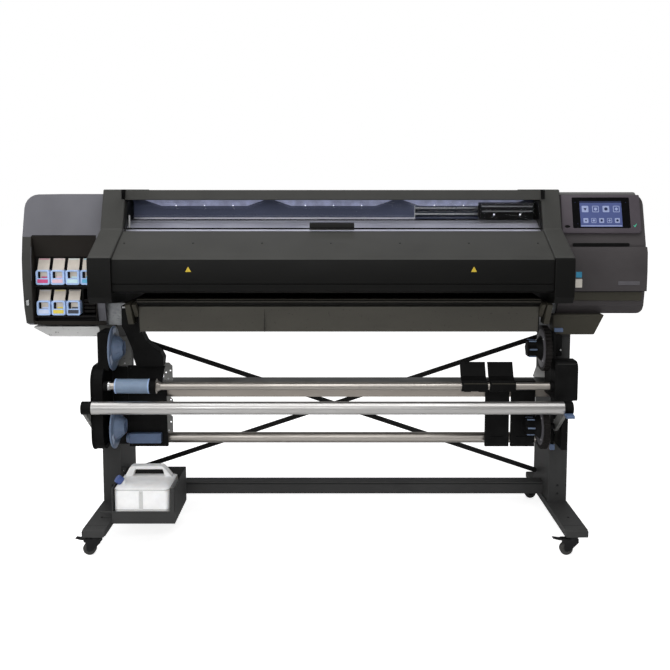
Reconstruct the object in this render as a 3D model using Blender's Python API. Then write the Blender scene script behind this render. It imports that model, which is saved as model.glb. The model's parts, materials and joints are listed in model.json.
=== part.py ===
"""Wide-format roll printer for vinyl and film, on a wheeled stand with a take-up reel at the front.

Metres, +Z up. The front faces -Y and the ink cartridges are on the left, at -X. The origin is on the floor,
under the middle of the whole machine.
"""

import math

import bmesh
import bpy
from mathutils import Matrix, Vector

# ---- driving dimensions ----

BODY_BACK = 0.3945  # back of the hood, behind the middle of the machine
TOP = 1.420  # top of the hood
GAP = 0.0003  # between pieces that rest on each other

# Stand
LEG_IN, LEG_OUT = 0.900, 0.976  # inner and outer faces of a leg, from the middle
LEG_FRONT, LEG_BACK = -0.055, 0.215
LEG_WALL = 0.003
FOOT_IN, FOOT_OUT = 0.892, 0.980
FOOT_FRONT, FOOT_BACK = -0.372, 0.340
FOOT_BOTTOM, FOOT_TOP = 0.082, 0.110
BRACE_HIGH, BRACE_LOW = 0.778, 0.180  # heights where a brace bar meets the legs
CASTER_X = 0.9315
CASTER_FRONT, CASTER_BACK = -0.335, 0.298
WHEEL_RADIUS, WHEEL_HALF_WIDTH = 0.0255, 0.0112
CASTER_TRAIL = 0.0275  # wheel axle behind the swivel, towards -X
PEDAL_HINGE = 0.0625  # height of a brake pedal's pin

# Body
CHASSIS_BOTTOM, CHASSIS_TOP = 0.862, 0.955
CHASSIS_FRONT, CHASSIS_BACK = -0.050, 0.330
SPAN_LEFT, SPAN_RIGHT = -0.850, 0.835  # inner faces of the two pillars
PILLAR_LEFT, PILLAR_RIGHT = -0.940, 0.910  # outer faces of the two pillars
BODY_LEFT, BODY_RIGHT = -1.2725, 1.2620
COVER = 0.005  # thickness of a moulded cover
SHEET = 0.004  # thickness of a bent steel sheet
WINDOW_HINGE = (-0.0785, 1.3740)  # y, z
WINDOW_FOOT = (-0.1255, 1.2635)
CARRIAGE_PARK = 0.600  # left side of the parked carriage
CARRIAGE_WIDTH = 0.215

# Ink cartridges
CARTRIDGE_X = -1.1966  # middle of the first column
CARTRIDGE_PITCH = 0.061
UPPER_ROW, LOWER_ROW = 1.032, 0.906  # heights of the two rows
CARTRIDGE_TALL = {"upper": 0.108, "lower": 0.104}
RACK_FRONT, RACK_BACK = -0.045, 0.240

# Right-hand module
SLANT_TOP, SLANT_FOOT = (-0.030, 1.405), (-0.095, 1.200)  # y, z of the leaning front
DOOR_HINGE = (-0.112, 1.0105)
DOOR_TOP = 1.1905
DOOR_LEFT, DOOR_RIGHT = 0.9140, 1.2660

# Take-up reel
REEL_Y = -0.150
LEFT_HUB, RIGHT_HUB = -0.8985, 0.8570  # outer faces of the hubs
UPPER_REEL, LOWER_REEL = 0.784, 0.462
FLANGE_RADIUS = 0.090
BAR_Y, BAR_Z, BAR_RADIUS = -0.205, 0.640, 0.0155
TUBE_Y, TUBE_Z, TUBE_RADIUS = -0.300, 0.575, 0.0254
TUBE_LEFT, TUBE_RIGHT = -0.947, 0.891
PIVOT_RADIUS = 0.012
RUNNING = 0.0006  # play between a stub shaft and what turns on it
BEAM = ((-0.040, 0.557), (0.055, 0.620))  # y, z corners of the cross beam
RAIL_Z, RAIL_RADIUS = 0.372, 0.0223
STAND_OFF = -0.0583  # back of what is bolted in front of a leg

# Waste bottle
TRAY_LEFT, TRAY_RIGHT = -0.8815, -0.6330
TRAY_FRONT, TRAY_BACK = -0.290, -0.020
TRAY_BOTTOM, TRAY_LIP, TRAY_TOP = 0.105, 0.155, 0.250
TRAY_WALL = 0.003

# ---- finishes: colour, roughness, metallic ----

FINISHES = {
    "dark_shell": ((0.055, 0.055, 0.055), 0.55, 0.0),
    "grey_shell": ((0.130, 0.130, 0.140), 0.50, 0.0),
    "black_plastic": ((0.012, 0.012, 0.012), 0.50, 0.0),
    "stand_paint": ((0.035, 0.035, 0.037), 0.55, 0.2),
    "apron_paint": ((0.085, 0.082, 0.070), 0.50, 0.2),
    "aluminium": ((0.620, 0.600, 0.580), 0.35, 0.9),
    "steel": ((0.550, 0.550, 0.580), 0.30, 1.0),
    "blue_plastic": ((0.200, 0.310, 0.520), 0.45, 0.0),
    "cartridge": ((0.560, 0.540, 0.520), 0.60, 0.0),
    "glass": ((0.100, 0.110, 0.150), 0.10, 0.0),
    "white_plastic": ((0.800, 0.800, 0.800), 0.45, 0.0),
    "rubber": ((0.020, 0.020, 0.020), 0.80, 0.0),
    "display": ((0.030, 0.030, 0.040), 0.20, 0.0),
}
AXES = {"x": 0, "y": 1, "z": 2}


def clear_scene():
    for obj in list(bpy.data.objects):
        bpy.data.objects.remove(obj)


def finish_of(name):
    """The material of that name, made on first use."""
    found = bpy.data.materials.get(name)
    if found:
        return found
    colour, roughness, metallic = FINISHES[name]
    made = bpy.data.materials.new(name)
    made.use_nodes = True
    shader = made.node_tree.nodes["Principled BSDF"]
    shader.inputs["Base Color"].default_value = (*colour, 1.0)
    shader.inputs["Roughness"].default_value = roughness
    shader.inputs["Metallic"].default_value = metallic
    made.diffuse_color = (*colour, 1.0)
    return made


# ---- outlines ----


def arc(centre, radius, start, end, steps):
    """Points of an arc, with angles in degrees."""
    angles = [math.radians(start + (end - start) * i / steps) for i in range(steps + 1)]
    return [(centre[0] + radius * math.cos(a), centre[1] + radius * math.sin(a)) for a in angles]


def rounded(corners, radii, steps=4):
    """A closed outline with each corner rounded by its radius, or left sharp where that is 0."""
    outline = []
    for i, corner in enumerate(corners):
        radius = radii[i] if isinstance(radii, (list, tuple)) else radii
        if not radius:
            outline.append(corner)
            continue
        here = Vector(corner)
        back = (Vector(corners[i - 1]) - here).normalized()
        ahead = (Vector(corners[(i + 1) % len(corners)]) - here).normalized()
        half = back.angle(ahead) / 2
        centre = here + (back + ahead).normalized() * radius / math.sin(half)
        first = here + back * radius / math.tan(half) - centre
        turn = first.angle_signed(here + ahead * radius / math.tan(half) - centre)
        for k in range(steps + 1):
            outline.append(tuple(centre + Matrix.Rotation(-turn * k / steps, 2) @ first))
    return outline


def rectangle(low, high):
    return [low, (high[0], low[1]), high, (low[0], high[1])]


def inset(outline, distance):
    """A closed outline moved inwards, for the inside of a wall."""
    area = sum(a[0] * b[1] - b[0] * a[1] for a, b in zip(outline, outline[1:] + outline[:1]))
    inward = math.copysign(distance, area)
    count = len(outline)
    return [shifted_corner(outline[i - 1], p, outline[(i + 1) % count], inward) for i, p in enumerate(outline)]


def shifted_corner(before, corner, after, left):
    """Where the two edges at a corner meet once each is moved to its left by that distance."""
    here = Vector(corner)
    into, out = (here - Vector(before)).normalized(), (Vector(after) - here).normalized()
    bisector = Vector((-into.y - out.y, into.x + out.x)).normalized()
    return tuple(here + bisector * left / max(0.2, bisector.dot(Vector((-into.y, into.x)))))


def bent_sheet(points, thickness):
    """The outline of a sheet bent along points, with its thickness to the left of the way they run."""
    before = tuple(2 * Vector(points[0]) - Vector(points[1]))
    after = tuple(2 * Vector(points[-1]) - Vector(points[-2]))
    run = [before, *points, after]
    inner = [shifted_corner(run[i], run[i + 1], run[i + 2], thickness) for i in range(len(points))]
    return [*points, *reversed(inner)]


# ---- solids: each returns a bmesh in world coordinates ----


def prism(outline, axis, start, end):
    """An outline pushed along an axis. Its points are the other two axes in X, Y, Z order."""
    shape = bmesh.new()
    along = AXES[axis]
    points = []
    for first, second in outline:
        point = [first, second]
        point.insert(along, start)
        points.append(shape.verts.new(point))
    face = shape.faces.new(points)
    pushed = bmesh.ops.extrude_face_region(shape, geom=[face])
    step = Vector((0, 0, 0))
    step[along] = end - start
    moved = [v for v in pushed["geom"] if isinstance(v, bmesh.types.BMVert)]
    bmesh.ops.translate(shape, verts=moved, vec=step)
    bmesh.ops.recalc_face_normals(shape, faces=shape.faces)
    return shape


def block(low, high):
    return prism(rectangle(low[:2], high[:2]), "z", low[2], high[2])


def turned(profile, axis, centre, steps=24):
    """A profile of (along, radius) points turned about an axis through centre, open only where it meets it."""
    shape = bmesh.new()
    along = AXES[axis]
    others = [k for k in range(3) if k != along]
    rings = []
    for distance, radius in profile:
        ring = []
        for i in range(steps if radius else 1):
            angle = 2 * math.pi * i / steps
            point = list(centre)
            point[along] += distance
            point[others[0]] += radius * math.cos(angle)
            point[others[1]] += radius * math.sin(angle)
            ring.append(shape.verts.new(point))
        rings.append(ring)
    hollow = all(radius for _, radius in profile)
    for a, b in zip(rings, rings[1:] + rings[:1] if hollow else rings[1:]):
        for i in range(steps):
            corners = [a[i % len(a)], a[(i + 1) % len(a)], b[(i + 1) % len(b)], b[i % len(b)]]
            if len(a) + len(b) > 2:
                shape.faces.new(list(dict.fromkeys(corners)))
    bmesh.ops.recalc_face_normals(shape, faces=shape.faces)
    return shape


def cylinder(axis, centre, radius, start, end, steps=24):
    """A round bar along an axis, whose ends are start and end on that axis."""
    middle = list(centre)
    middle[AXES[axis]] = 0.0
    return turned([(start, 0), (start, radius), (end, radius), (end, 0)], axis, middle, steps)


def pipe(axis, centre, outer, inner, start, end, steps=24):
    middle = list(centre)
    middle[AXES[axis]] = 0.0
    return turned([(start, inner), (start, outer), (end, outer), (end, inner)], axis, middle, steps)


def flat_bar(ends, half_width, axis, start, end, steps=6):
    """A bar with round ends between two points, seen along axis."""
    (ax, ay), (bx, by) = ends
    heading = math.degrees(math.atan2(by - ay, bx - ax))
    outline = arc((ax, ay), half_width, heading + 90, heading + 270, steps)
    outline += arc((bx, by), half_width, heading - 90, heading + 90, steps)
    return prism(outline, axis, start, end)


# ---- objects ----


def place(name, shape, finish, origin=(0, 0, 0), smooth=False):
    """A named object made from a bmesh in world coordinates, with its own origin at the joint's axis."""
    bmesh.ops.translate(shape, verts=shape.verts, vec=-Vector(origin))
    mesh = bpy.data.meshes.new(name)
    shape.to_mesh(mesh)
    shape.free()
    mesh.materials.append(finish_of(finish))
    if smooth:
        mesh.shade_smooth()
        mesh.set_sharp_from_angle(angle=math.radians(35))
    obj = bpy.data.objects.new(name, mesh)
    obj.location = origin
    bpy.context.scene.collection.objects.link(obj)
    return obj


def helper(name, shape):
    """A hidden object that only cuts, joins or trims another."""
    obj = place(name, shape, "rubber")
    obj.hide_render = True
    obj.display_type = "WIRE"
    return obj


def combine(obj, operation, *shapes):
    """Cuts shapes from obj, or joins them to it, or keeps what lies inside them."""
    for i, shape in enumerate(shapes):
        other = shape if isinstance(shape, bpy.types.Object) else None
        if other is None:
            other = helper(f"{operation.lower()}_{len(obj.modifiers)}_{i}_{obj.name}", shape)
        step = obj.modifiers.new(f"{operation.lower()}_{i}", "BOOLEAN")
        step.operation = operation
        step.solver = "EXACT"
        step.object = other
    return obj


def cut(obj, *shapes):
    return combine(obj, "DIFFERENCE", *shapes)


def join(obj, *shapes):
    return combine(obj, "UNION", *shapes)


def trim(obj, *shapes):
    return combine(obj, "INTERSECT", *shapes)


def soften(obj, width, segments=1):
    """Breaks the sharp edges."""
    step = obj.modifiers.new("soften", "BEVEL")
    step.width = width
    step.segments = segments
    step.limit_method = "ANGLE"
    step.angle_limit = math.radians(40)
    return obj


# ---- stand ----


def make_leg(side):
    """A folded steel leg, open at the top, welded on a long foot."""
    name = "left_leg" if side < 0 else "right_leg"
    low, high = sorted((side * LEG_IN, side * LEG_OUT))
    upright = block((low, LEG_FRONT, FOOT_TOP - 0.010), (high, LEG_BACK, CHASSIS_BOTTOM - GAP))
    leg = place(name, upright, "stand_paint")
    foot_low, foot_high = sorted((side * FOOT_IN, side * FOOT_OUT))
    toe = FOOT_FRONT
    profile = [
        (toe, FOOT_BOTTOM + 0.012),
        (toe, FOOT_TOP - 0.010),
        (toe + 0.012, FOOT_TOP),
        (FOOT_BACK - 0.008, FOOT_TOP),
        (FOOT_BACK, FOOT_TOP - 0.008),
        (FOOT_BACK, FOOT_BOTTOM + 0.018),
        (FOOT_BACK - 0.020, FOOT_BOTTOM),
        (toe + 0.012, FOOT_BOTTOM),
    ]
    join(leg, prism(profile, "x", foot_low, foot_high))
    inside = (low + LEG_WALL, LEG_FRONT + LEG_WALL, FOOT_TOP + LEG_WALL)
    cut(leg, block(inside, (high - LEG_WALL, LEG_BACK - LEG_WALL, CHASSIS_BOTTOM + 0.010)))
    under = (foot_low + LEG_WALL, CASTER_FRONT + 0.060, FOOT_BOTTOM - 0.010)
    cut(leg, block(under, (foot_high - LEG_WALL, CASTER_BACK - 0.055, FOOT_TOP - LEG_WALL)))
    return leg


def make_stand():
    for side in (-1, 1):
        make_leg(side)
    reach = LEG_IN - GAP
    beam_low, beam_high = (0.040, FOOT_TOP + 0.0005), (0.100, 0.162)
    beam = place("stand_crossbeam", prism(rectangle(beam_low, beam_high), "x", -reach, reach), "stand_paint")
    inner = inset(rectangle(beam_low, beam_high), 0.0025)
    cut(beam, prism(inner, "x", -reach - 0.010, reach + 0.010))
    bar_half, bar_thick = 0.0105, 0.005
    end = reach - bar_half
    for name, left_z, right_z, y in (
        ("brace_bar_falling", BRACE_HIGH, BRACE_LOW, 0.150),
        ("brace_bar_rising", BRACE_LOW, BRACE_HIGH, 0.158),
    ):
        bar = flat_bar([(-end, left_z), (end, right_z)], bar_half, "y", y, y + bar_thick, steps=4)
        place(name, bar, "stand_paint")


def make_caster(label, x, y, braked):
    """A swivel fork, its wheel and, on the front casters, the brake pedal. The wheel trails towards -X."""
    axle = (x - CASTER_TRAIL, y, WHEEL_RADIUS)
    crown = FOOT_BOTTOM - GAP
    cheek_in, cheek_out = 0.0125, 0.0155
    yoke_low, yoke_high = 0.0600, 0.0660
    yoke_front, yoke_back = x + 0.018, axle[0] - 0.021
    stem = cylinder("z", (x, y, 0), 0.019, yoke_high - 0.001, crown, 16)
    fork = place(f"caster_fork_{label}", stem, "black_plastic", (x, y, 0))
    join(fork, block((yoke_back + 0.011, y - cheek_out, yoke_low), (yoke_front, y + cheek_out, yoke_high)))
    cheek = [(yoke_front, yoke_high), (yoke_front, 0.052), (axle[0] + 0.012, 0.018)]
    cheek += arc((axle[0], axle[2]), 0.010, -50, -180, 4)
    cheek += [(axle[0] - 0.010, 0.048), (yoke_back, 0.057), (yoke_back, yoke_high)]
    for side in (-1, 1):
        low, high = sorted((y + side * cheek_in, y + side * cheek_out))
        join(fork, prism(cheek, "y", low, high))
    join(fork, cylinder("y", axle, 0.0030, y - cheek_in - 0.001, y + cheek_in + 0.001, 12))
    half, shoulder = WHEEL_HALF_WIDTH, WHEEL_RADIUS - 0.0025
    profile = [
        (-half, 0.0036),
        (-half, shoulder),
        (-half + 0.003, WHEEL_RADIUS),
        (half - 0.003, WHEEL_RADIUS),
        (half, shoulder),
        (half, 0.0036),
    ]
    place(f"caster_wheel_{label}", turned(profile, "y", axle, 28), "rubber", axle, smooth=True)
    if braked:
        hinge = (yoke_back + 0.0045, y, PEDAL_HINGE)
        lever = [(-0.0025, -0.0020), (0.0, -0.0025), (0.0025, 0.0), (0.0, 0.0025), (-0.012, 0.0030)]
        lever += [(-0.037, 0.0065), (-0.038, 0.0045), (-0.014, -0.0015)]
        outline = [(hinge[0] + dx, hinge[2] + dz) for dx, dz in lever]
        place(f"brake_pedal_{label}", prism(outline, "y", y - 0.0118, y + 0.0118), "black_plastic", hinge)


def make_casters():
    for row, y in (("front", CASTER_FRONT), ("rear", CASTER_BACK)):
        for column, x in (("left", -CASTER_X), ("right", CASTER_X)):
            make_caster(f"{row}_{column}", x, y, row == "front")


# ---- body ----

# The outside of a pillar seen from the side, as y, z, from the back of its foot round by the front.
PILLAR_OUTLINE = [
    (BODY_BACK, CHASSIS_TOP + GAP),
    (-0.060, CHASSIS_TOP + GAP),
    (-0.200, 0.978),
    (-0.322, 0.990),
    (-0.340, 1.015),
    (-0.344, 1.155),
    (-0.330, 1.170),
    (-0.137, 1.2640),
    (-0.076, TOP + 0.002),
    (0.310, TOP + 0.002),
    (BODY_BACK, 1.340),
]


def make_pillar(name, inner, outer):
    """A moulded end frame, open on the side that the end module covers."""
    low, high = sorted((inner, outer))
    pillar = soften(place(name, prism(PILLAR_OUTLINE, "x", low, high), "dark_shell"), 0.0035)
    toward = math.copysign(COVER, outer - inner)
    ends = sorted((inner + toward, outer + 4 * toward))
    cut(pillar, prism(inset(PILLAR_OUTLINE, COVER), "x", *ends))


def make_centre_covers():
    left, right = SPAN_LEFT + GAP, SPAN_RIGHT - GAP
    chassis = rectangle((CHASSIS_FRONT, CHASSIS_BOTTOM), (CHASSIS_BACK, CHASSIS_TOP))
    beam = place("chassis_beam", prism(chassis, "x", -LEG_OUT, LEG_OUT), "steel")
    cut(beam, prism(inset(chassis, SHEET), "x", -LEG_OUT - 0.010, LEG_OUT + 0.010))

    crown = [(-0.0865, 1.3810), (-0.0765, TOP - 0.002), (-0.0735, TOP)]
    crown += arc((BODY_BACK - 0.070, TOP - 0.070), 0.070, 90, 0, 5) + [(BODY_BACK, 1.000)]
    place("hood", prism(bent_sheet(crown, -COVER), "x", left, right), "dark_shell", smooth=True)

    slope = [(-0.1290, 1.2560), (-0.3050, 1.1700), (-0.3240, 1.1600), (-0.3310, 1.1480)]
    face = [(-0.3310, 1.0770), (-0.3230, 1.0700), (-0.3230, 1.0400), (-0.3150, 1.0330), (-0.1300, 1.0280)]
    place("curing_cover", prism(bent_sheet(slope + face, COVER), "x", left, right), "black_plastic")

    lip = [(-0.0200, 1.0020), (-0.2450, 0.9960), (-0.2520, 0.9850), (-0.2150, 0.9620)]
    lip += [(-0.2050, 0.8600), (-0.0580, 0.8560)]
    place("output_apron", prism(bent_sheet(lip, SHEET), "x", -0.7750, 0.8050), "apron_paint")


def make_print_zone():
    left, right = SPAN_LEFT + 0.002, SPAN_RIGHT - 0.002
    path = [(0.1150, 1.2720), (-0.0200, 1.2925), (-0.1120, 1.2500), (-0.2000, 1.1350), (-0.2450, 1.0620)]
    place("platen", prism(bent_sheet(path, SHEET), "x", left, right), "steel")

    roller = (0.0, 0.1420, 1.2530)
    profile = [(left, 0), (left, 0.008), (left + 0.012, 0.008), (left + 0.012, 0.0205)]
    profile += [(right - 0.012, 0.0205), (right - 0.012, 0.008), (right, 0.008), (right, 0)]
    place("feed_roller", turned(profile, "x", roller), "rubber", roller, smooth=True)

    section = rectangle((0.045, 1.3000), (0.115, 1.3650))
    rail = place("carriage_rail", prism(section, "x", left, right), "display")
    cut(rail, prism(rectangle((0.060, 1.3030), (0.112, 1.3620)), "x", left - 0.010, right + 0.010))
    cut(rail, block((0.335, 0.040, 1.3060), (right + 0.010, 0.061, 1.3590)))

    park = (CARRIAGE_PARK, -0.040, 1.2985)
    case = block(park, (CARRIAGE_PARK + CARRIAGE_WIDTH, 0.041, 1.3680))
    carriage = place("carriage", case, "black_plastic", (CARRIAGE_PARK, 0.0, 1.3300))
    soften(carriage, 0.004)

    pane = bent_sheet([WINDOW_HINGE, WINDOW_FOOT], SHEET)
    window = place("window", prism(pane, "x", left, right), "glass", (0, *WINDOW_HINGE))
    pull = [(-0.1120, 1.2920), (-0.1300, 1.2870), (-0.1390, 1.2670), (-0.1220, 1.2640)]
    join(window, prism(pull, "x", -0.102, 0.077))


# ---- ink module on the left ----

# The outside of an end module seen from the side, as y, z, from the top of its front round by the back.
INK_OUTLINE = [
    (-0.030, 1.402),
    (-0.084, 1.230),
    (-0.099, 1.140),
    (-0.100, 1.060),
    (-0.088, 0.940),
    (-0.066, 0.866),
    (0.330, 0.866),
    (0.360, 0.900),
    (0.360, 1.350),
    (0.310, 1.402),
]


def module_shell(name, outline, front_view, outer, inner, finish):
    """A hollow end module: its side outline, trimmed to its rounded front view, open towards the pillar."""
    low, high = sorted((outer, inner))
    shell = place(name, prism(outline, "x", low, high), finish)
    trim(shell, prism(front_view, "y", -0.300, 0.500))
    hollow = helper(f"hollow_{name}", prism(inset(outline, COVER), "x", low - 0.050, high + 0.050))
    trim(hollow, prism(inset(front_view, COVER), "y", -0.310, 0.510))
    cut(shell, hollow)
    return shell


def chassis_notch(side):
    """Room for the end of the chassis, which the module hangs on."""
    low, high = sorted((side * (LEG_OUT + 0.0006), side * 0.850))
    return block((low, CHASSIS_FRONT - 0.0006, CHASSIS_BOTTOM - 0.050), (high, 0.400, CHASSIS_TOP + 0.0006))


def make_ink_module():
    right = PILLAR_LEFT - GAP
    front_view = rounded(
        [(BODY_LEFT, 0.866), (right + 0.020, 0.866), (right + 0.020, 1.402), (BODY_LEFT, 1.402)],
        [0.018, 0, 0, 0.055],
        5,
    )
    shell = module_shell("ink_shell", INK_OUTLINE, front_view, BODY_LEFT, right, "grey_shell")
    cut(shell, block((-1.2345, -0.140, 0.880), (-0.9725, -0.020, 1.2365)))
    cut(shell, chassis_notch(-1))
    pan = [(-1.245, 0.8690), (-1.160, 0.8260), (-0.9785, 0.8260), (-0.9785, 0.8690)]
    join(shell, prism(pan, "y", 0.020, 0.300))

    floor = 0.8717
    side_view = [
        (RACK_FRONT, floor),
        (RACK_FRONT, 1.152),
        (-0.078, 1.2315),
        (RACK_BACK, 1.2315),
        (RACK_BACK, floor),
    ]
    rack = place("ink_rack", prism(side_view, "x", -1.2315, -0.9780), "black_plastic")
    pocket_half = 0.02775
    for column in range(4):
        x = CARTRIDGE_X + column * CARTRIDGE_PITCH
        for row, tall in ((UPPER_ROW, CARTRIDGE_TALL["upper"]), (LOWER_ROW, CARTRIDGE_TALL["lower"])):
            low = (x - pocket_half, RACK_FRONT - 0.050, row - 0.002)
            cut(rack, block(low, (x + pocket_half, RACK_BACK - 0.025, row + tall + 0.004)))
    make_cartridges()


def make_cartridges():
    """Four cartridges above and three below. Each is a tall box behind a shorter blue front."""
    half, front_half = 0.026, 0.0285
    for row, z, count in (("upper", UPPER_ROW, 4), ("lower", LOWER_ROW, 3)):
        for column in range(count):
            x = CARTRIDGE_X + column * CARTRIDGE_PITCH
            body = block((x - half, -0.047, z), (x + half, 0.205, z + CARTRIDGE_TALL[row]))
            cartridge = place(f"cartridge_{row}_{column + 1}", body, "cartridge", (x, -0.080, z))
            face = [(x - front_half, z + 0.001), (x + front_half, z + 0.001)]
            face += [(x + front_half, z + 0.062), (x - front_half, z + 0.062)]
            join(cartridge, prism(rounded(face, 0.006, 2), "y", -0.080, RACK_FRONT - 0.0005))


# ---- control module on the right ----

CONTROL_OUTLINE = [
    SLANT_TOP,
    SLANT_FOOT,
    (-0.099, 1.120),
    (-0.099, 1.005),
    (-0.090, 0.950),
    (-0.066, 0.914),
    (0.330, 0.914),
    (0.360, 0.948),
    (0.360, 1.350),
    (0.310, 1.405),
]


def on_slant(distance, height=0.0):
    """A point on the leaning front, this far below its top edge and this high off its face."""
    run = (Vector(SLANT_FOOT) - Vector(SLANT_TOP)).normalized()
    outward = Vector((run.y, -run.x))
    return tuple(Vector(SLANT_TOP) + run * distance + outward * height)


def make_control_module():
    left = PILLAR_RIGHT + GAP
    front_view = rounded(
        [(left - 0.020, 0.914), (BODY_RIGHT, 0.914), (BODY_RIGHT, 1.405), (left - 0.020, 1.405)],
        [0, 0.022, 0.045, 0],
        5,
    )
    shell = module_shell("control_shell", CONTROL_OUTLINE, front_view, BODY_RIGHT, left, "grey_shell")
    cut(shell, block((0.945, -0.140, 1.030), (1.235, -0.020, 1.172)))
    cut(shell, chassis_notch(1))

    make_display()
    make_service_door()

    under = [(0.888, 0.832), (1.058, 0.832), (1.098, 0.9135), (0.888, 0.9135)]
    soften(place("right_under_cover", prism(under, "y", -0.108, STAND_OFF), "grey_shell"), 0.003)


def make_display():
    """The leaning operator panel and its power button."""
    top, foot = 0.010, 0.172
    section = [on_slant(top, GAP), on_slant(foot, GAP), on_slant(foot, 0.014), on_slant(top + 0.004, 0.008)]
    panel = place("display_panel", prism(section, "x", 0.922, 1.245), "display")
    button_x, button_at = 0.9445, 0.143
    centre = Vector((button_x, *on_slant(button_at, 0.010)))
    run = Vector((0, *(Vector(on_slant(1)) - Vector(on_slant(0)))))
    inward = Vector((0, *(Vector(on_slant(0)) - Vector(on_slant(0, 1)))))

    def oval(half_length, half_height, depth_from, depth_to):
        shape = bmesh.new()
        count = 16
        near = []
        for i in range(count):
            angle = 2 * math.pi * i / count
            offset = Vector((half_length, 0, 0)) * math.cos(angle) + run * half_height * math.sin(angle)
            near.append(shape.verts.new(centre + offset + inward * depth_from))
        face = shape.faces.new(near)
        pushed = bmesh.ops.extrude_face_region(shape, geom=[face])
        moved = [v for v in pushed["geom"] if isinstance(v, bmesh.types.BMVert)]
        bmesh.ops.translate(shape, verts=moved, vec=inward * (depth_to - depth_from))
        bmesh.ops.recalc_face_normals(shape, faces=shape.faces)
        return shape

    cut(panel, oval(0.0105, 0.0050, -0.012, 0.007))
    place("power_button", oval(0.0100, 0.0045, -0.0040, 0.0038), "black_plastic", tuple(centre))


def make_service_door():
    """The front door over the maintenance bay, which drops forward on its bottom edge."""
    y, z = DOOR_HINGE
    back = -0.0995
    section = [(y, z), (y - 0.002, z + 0.080), (y + 0.002, DOOR_TOP - 0.022)]
    section += [(back - 0.001, DOOR_TOP), (back, DOOR_TOP), (back, z)]
    door = place("service_door", prism(section, "x", DOOR_LEFT, DOOR_RIGHT), "grey_shell", (0, *DOOR_HINGE))
    soften(door, 0.0015)


# ---- take-up reel ----


def make_reel_ends():
    """The two end castings in front of the legs, which carry the reel hubs and the bars."""
    lower = (REEL_Y, LOWER_REEL)
    upper = (REEL_Y, UPPER_REEL)
    side = rounded(rectangle((-0.225, 0.375), (STAND_OFF, 0.715)), [0.060, 0.020, 0.020, 0.060], 5)
    plate = place("reel_side_plate", prism(side, "x", -0.972, -0.925), "black_plastic")
    join(plate, prism(rectangle((-0.188, 0.700), (STAND_OFF, 0.852)), "x", -0.950, -0.907))
    join(plate, cylinder("x", (0, *lower), PIVOT_RADIUS, -0.9915, -0.8990, 16))
    join(plate, cylinder("x", (0, *upper), PIVOT_RADIUS, -0.9200, -0.8990, 16))

    box = [(-0.235, 0.585), (STAND_OFF, 0.585), (STAND_OFF, 0.716), (-0.235, 0.745)]
    box = rounded(box, [0.012, 0, 0, 0.024], 4)
    housing = place("reel_motor_housing", prism(box, "x", 0.872, 0.962), "black_plastic")
    join(housing, prism(rectangle((-0.190, 0.730), (STAND_OFF, 0.852)), "x", 0.872, 0.882))
    join(housing, prism(rectangle((-0.185, 0.372), (STAND_OFF, 0.590)), "x", 0.915, 0.938))
    join(housing, cylinder("x", (0, *lower), PIVOT_RADIUS, RIGHT_HUB + 0.0005, 0.9200, 16))
    join(housing, cylinder("x", (0, *upper), PIVOT_RADIUS, RIGHT_HUB + 0.0005, 0.8750, 16))


def make_reel_bars():
    reach = LEG_IN - GAP
    (y0, z0), (y1, z1) = BEAM
    beam = place("reel_beam", prism(rectangle((y0, z0), (y1, z1)), "x", -reach, reach), "aluminium")
    cut(beam, prism(inset(rectangle((y0, z0), (y1, z1)), 0.003), "x", -reach - 0.010, reach + 0.010))
    rail = pipe("x", (0, 0, RAIL_Z), RAIL_RADIUS, RAIL_RADIUS - 0.003, -reach, reach)
    place("reel_rail", rail, "aluminium", smooth=True)

    sleeve, collar = 0.0285, 0.0300
    profile = [
        (-0.9247, 0),
        (-0.9247, BAR_RADIUS),
        (-0.8800, BAR_RADIUS),
        (-0.8760, sleeve),
        (-0.7390, sleeve),
        (-0.7370, collar),
        (-0.7120, collar),
        (-0.7100, 0.0230),
        (-0.6950, BAR_RADIUS),
        (0.8717, BAR_RADIUS),
        (0.8717, 0),
    ]
    place("deflector_bar", turned(profile, "x", (0, BAR_Y, BAR_Z)), "aluminium", smooth=True)


def make_hubs():
    """A coned flange on the left and a ribbed hand wheel with a core plug on the right, for both reels."""
    cone = [(0, 0), (0, 0.088), (0.003, FLANGE_RADIUS), (0.008, FLANGE_RADIUS), (0.012, 0.072), (0.016, 0.047)]
    cone += [(0.034, 0.036), (0.046, 0.026), (0.046, 0)]
    wheel = [(0, 0), (0, 0.088), (-0.004, 0.092), (-0.026, 0.092), (-0.030, 0.080), (-0.033, 0.042)]
    wheel += [(-0.042, 0.038), (-0.078, 0.038), (-0.085, 0.030), (-0.085, 0)]
    for label, z in (("upper", UPPER_REEL), ("lower", LOWER_REEL)):
        for side, x, profile, finish in (
            ("left", LEFT_HUB, cone, "blue_plastic"),
            ("right", RIGHT_HUB, wheel, "black_plastic"),
        ):
            centre = (x, REEL_Y, z)
            place(f"{label}_{side}_hub", turned(profile, "x", centre, 32), finish, centre, smooth=True)


def make_tension_bar():
    """A tube across the front on two arms that swing about the lower reel's axis."""
    pivot = (0, REEL_Y, LOWER_REEL)
    head = (0, TUBE_Y, TUBE_Z)
    bore = PIVOT_RADIUS + RUNNING
    tube = pipe("x", head, TUBE_RADIUS, TUBE_RADIUS - 0.0025, TUBE_LEFT + GAP, TUBE_RIGHT - GAP, 32)
    place("tension_tube", tube, "aluminium", pivot, smooth=True)
    for name, link, knob in (
        ("tension_arm_left", (-0.9850, -0.9735), (-0.9850, TUBE_LEFT)),
        ("tension_arm_right", (0.8925, 0.9075), (TUBE_RIGHT, 0.9250)),
    ):
        bar = flat_bar([(REEL_Y, LOWER_REEL), (TUBE_Y, TUBE_Z)], 0.0190, "x", *link)
        arm = place(name, bar, "black_plastic", pivot)
        join(arm, cylinder("x", head, 0.0235, *knob))
        cut(arm, cylinder("x", pivot, bore, link[0] - 0.010, link[1] + 0.010, 16))


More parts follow.
